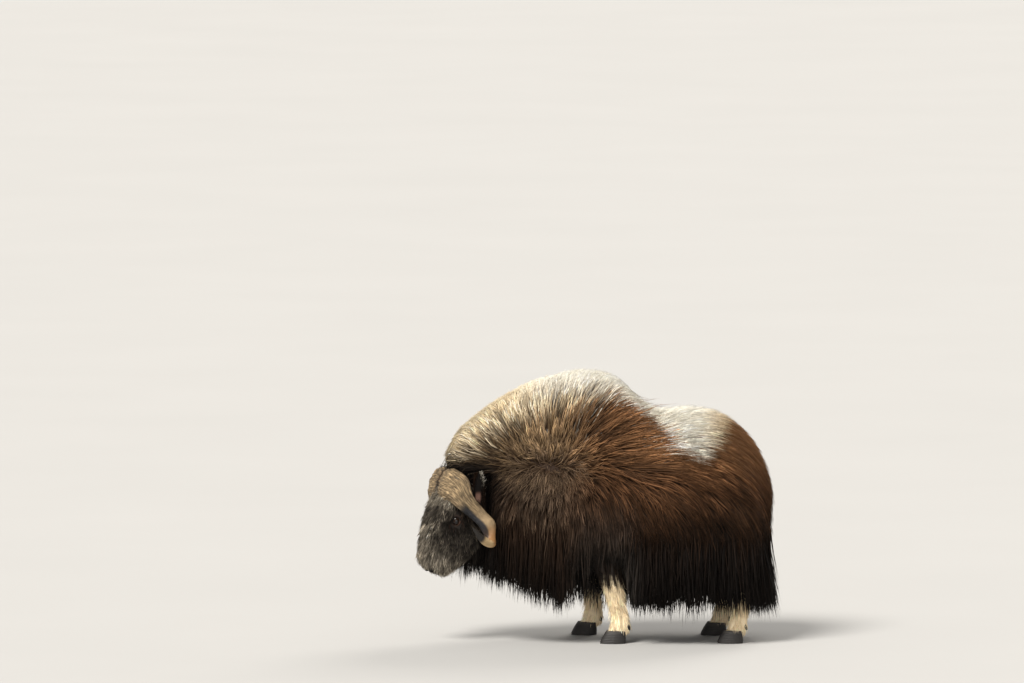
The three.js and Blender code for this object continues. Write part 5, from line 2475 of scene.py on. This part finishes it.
@dataclass
class Muskox:
    """The whole animal over its frame."""

    finishes: Finishes
    place: Place
    trunk: Trunk = field(default_factory=Trunk)
    head: Head = field(default_factory=Head)
    tail: Tail = field(default_factory=Tail)

    def settle(self) -> None:
        """Works out the shift from the animal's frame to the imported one, from the left eye."""
        low, high = (np.array(corner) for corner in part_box("eye_left"))
        eye = self.head.matrix[:3, :3] @ self.head.eye_centre(Hand.LEFT) + self.head.matrix[:3, 3]
        shift = (low + high) / 2 - eye
        self.place.shift = np.array([shift[0], shift[1], 0.0])
        log.info("the frame is shifted by %s, left over in height %.4f", self.place.shift, shift[2])

    def skin(self, legs: Sequence[Leg], ears: Sequence[Ear]) -> None:
        """One skin for all of the flesh.

        Args:
            legs: The legs.
            ears: The ears.
        """
        parts = [self.trunk.skin(), self.tail.skin(), *(leg.skin() for leg in legs)]
        face = [self.head.skin()]
        for hand in Hand:
            face += [self.head.lids(hand), self.head.nostril_rim(hand)]
        parts += [part.moved(self.head.matrix) for part in face]
        parts += [ear.leaf() for ear in ears]
        for part in parts:
            part.uv = None
        piece = self.place.make("skin", Solid.joined(parts), self.finishes.skin)
        flesh = ["neck", "torso", "tail", "head", "ear_left", "ear_right"]
        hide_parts(*flesh, *(f"leg_{leg.plan.name}" for leg in legs))

    def coat(self, legs: Sequence[Leg], ears: Sequence[Ear]) -> None:
        """All hair that stands as tufts.

        Args:
            legs: The legs.
            ears: The ears.
        """
        grown = [
            ("coat_body", self.trunk.coat, "coat"),
            ("coat_wool", self.trunk.fleece, "coat"),
            ("coat_whorl", self.trunk.whorl, "coat"),
            ("coat_curtain", self.trunk.curtain, "coat"),
            *((f"coat_leg_{leg.plan.name}", leg.coat, "coat") for leg in legs),
            ("coat_face", self.head.short_coat, "face"),
            ("coat_beard", self.head.long_coat, "face"),
            *((f"coat_ear_{ear.hand.name.lower()}", ear.fringe, "face") for ear in ears),
        ]
        for name, tufts, slot in grown:
            for piece in tufts().pieces(name, self.place, self.finishes.hair):
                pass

    def horns_and_eyes(self) -> None:
        """Horns, eyes and lashes."""
        rows = BristleRow(self.finishes.hair)
        for hand in Hand:
            word = hand.name.lower()
            for kind, part, finish in (
                ("horn", Horn(hand, self.head), self.finishes.horn),
                ("eye", Eye(hand, self.head), self.finishes.eye),
            ):
                piece = self.place.make(f"{kind}_{word}_dressed", part.build(), finish)
                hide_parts(f"{kind}_{word}")
            self.lashes(rows, hand)

    def lashes(self, rows: BristleRow, hand: Hand) -> None:
        """Lashes along one upper lid.

        Args:
            rows: What sets the lashes.
            hand: Which eye.
        """
        head = self.head
        look = head.look_at(hand)
        along, up = head.lid_axes(hand)
        up = up * np.sign(up[2])
        angle = np.linspace(0.25, math.pi - 0.25, 24)
        long, high = head.lash_line
        x, y = long * np.cos(angle), high * np.sin(angle)
        points = head.eye_centre(hand) + np.outer(x, along) + np.outer(y, up)
        depth = np.sqrt(np.maximum((head.eye_radius + 0.004) ** 2 - x**2 - y**2, 0.0))
        points = points + np.outer(depth, look)
        out = look * 0.8 + up * 0.35 + np.outer(np.cos(angle) * 0.4, along)
        turn = head.matrix[:3, :3]
        points = points @ turn.T + head.matrix[:3, 3] + self.place.shift
        name = f"lashes_{hand.name.lower()}"
        mesh = rows.along(name, points, out @ turn.T, **head.lashes)
        paint(mesh, np.tile(PALETTE.black, (len(mesh.vertices), 1)))
        piece = self.place.show(name, mesh, self.finishes.hair)

    def hooves(self, legs: Sequence[Leg]) -> None:
        """Toes with the small claws behind them.

        Args:
            legs: The legs.
        """
        for leg in legs:
            outer = 1 if leg.plan.y > 0 else -1
            for word, side in (("inner", -outer), ("outer", outer)):
                solid = Solid.joined([leg.toe(side), leg.dewclaw(side)])
                name = f"hoof_{leg.plan.name}_{word}"
                piece = self.place.make(name + "_dressed", solid, self.finishes.hoof)
                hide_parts(name)

    def build(self) -> None:
        """Makes every piece."""
        self.settle()
        legs = [Leg(plan) for plan in LEGS]
        ears = [Ear(hand, self.head) for hand in Hand]
        self.skin(legs, ears)
        self.coat(legs, ears)
        self.horns_and_eyes()
        self.hooves(legs)


@dataclass
class Studio:
    """Floor, lights and camera."""

    place: Place
    aim: tuple[float, float, float] = (-0.455, 0.0, 1.543)
    distance: float = 59.0
    frame_width: float = 5.29
    elevation: float = math.radians(5)
    sensor: float = 36.0
    clip: tuple[float, float] = (1.0, 400.0)
    floor_half: float = 200.0
    # Name, the way it comes from, its width in degrees, its strength and its colour.
    lamps: tuple = (
        ("key", (-0.42, -0.55, 0.85), 24.0, 4.5, (1.0, 0.965, 0.91)),
        ("fill", (0.10, -0.98, 0.12), 20.0, 0.5, (1.0, 0.97, 0.93)),
        ("back", (0.45, 0.75, 0.60), 30.0, 1.6, (1.0, 0.95, 0.88)),
    )
    surround: Colour = (0.96, 0.94, 0.91)
    surround_strength: float = 0.62

    def floor(self) -> None:
        """A pale floor."""
        mesh = bpy.data.meshes.new("floor")
        half = self.floor_half
        corners = [(-half, -half, 0), (half, -half, 0), (half, half, 0), (-half, half, 0)]
        mesh.from_pydata(corners, [], [(0, 1, 2, 3)])
        mesh.materials.append(FloorFinish().build())
        piece = bpy.data.objects.new("floor", mesh)
        bpy.context.scene.collection.objects.link(piece)

    def sun(self, name: str, way: Sequence, soft: float, strength: float, colour: Colour) -> None:
        """A broad even light from one direction.

        Args:
            name: The lamp's name.
            way: The direction that it comes from.
            soft: How wide it looks, in degrees.
            strength: How strong it is.
            colour: Its colour.
        """
        data = bpy.data.lights.new(name, "SUN")
        data.angle, data.energy, data.color = math.radians(soft), strength, colour
        lamp = bpy.data.objects.new(name, data)
        lamp.rotation_euler = Vector(way).to_track_quat("Z", "Y").to_euler()
        bpy.context.scene.collection.objects.link(lamp)

    def lights(self) -> None:
        """A high soft key from the front left, weak lights from the side and behind, a pale surround."""
        for lamp in self.lamps:
            self.sun(*lamp)
        world = bpy.data.worlds.new("surround")
        world.use_nodes = True
        back = world.node_tree.nodes["Background"]
        back.inputs["Color"].default_value = (*self.surround, 1.0)
        back.inputs["Strength"].default_value = self.surround_strength
        bpy.context.scene.world = world
        bpy.context.scene.view_settings.view_transform = "Standard"

    def camera(self) -> None:
        """A long lens from the animal's left, a little above it."""
        data = bpy.data.cameras.new("camera")
        data.sensor_width = self.sensor
        data.lens = self.sensor * self.distance / self.frame_width
        data.clip_start, data.clip_end = self.clip
        eye = bpy.data.objects.new("camera", data)
        aim = Vector(np.array(self.aim) + self.place.shift)
        back = Vector((0.0, -math.cos(self.elevation), math.sin(self.elevation)))
        eye.location = aim + back * self.distance
        eye.rotation_euler = (-back).to_track_quat("-Z", "Y").to_euler()
        bpy.context.scene.collection.objects.link(eye)
        bpy.context.scene.camera = eye


def main() -> None:
    """Builds the animal over the frame, then the studio round it."""
    logging.basicConfig(level=logging.INFO, format="%(name)s: %(message)s")
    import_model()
    place = Place()
    animal = Muskox(Finishes(), place)
    animal.build()
    studio = Studio(place)
    studio.floor()
    studio.lights()
    studio.camera()


if __name__ == "__main__":
    main()
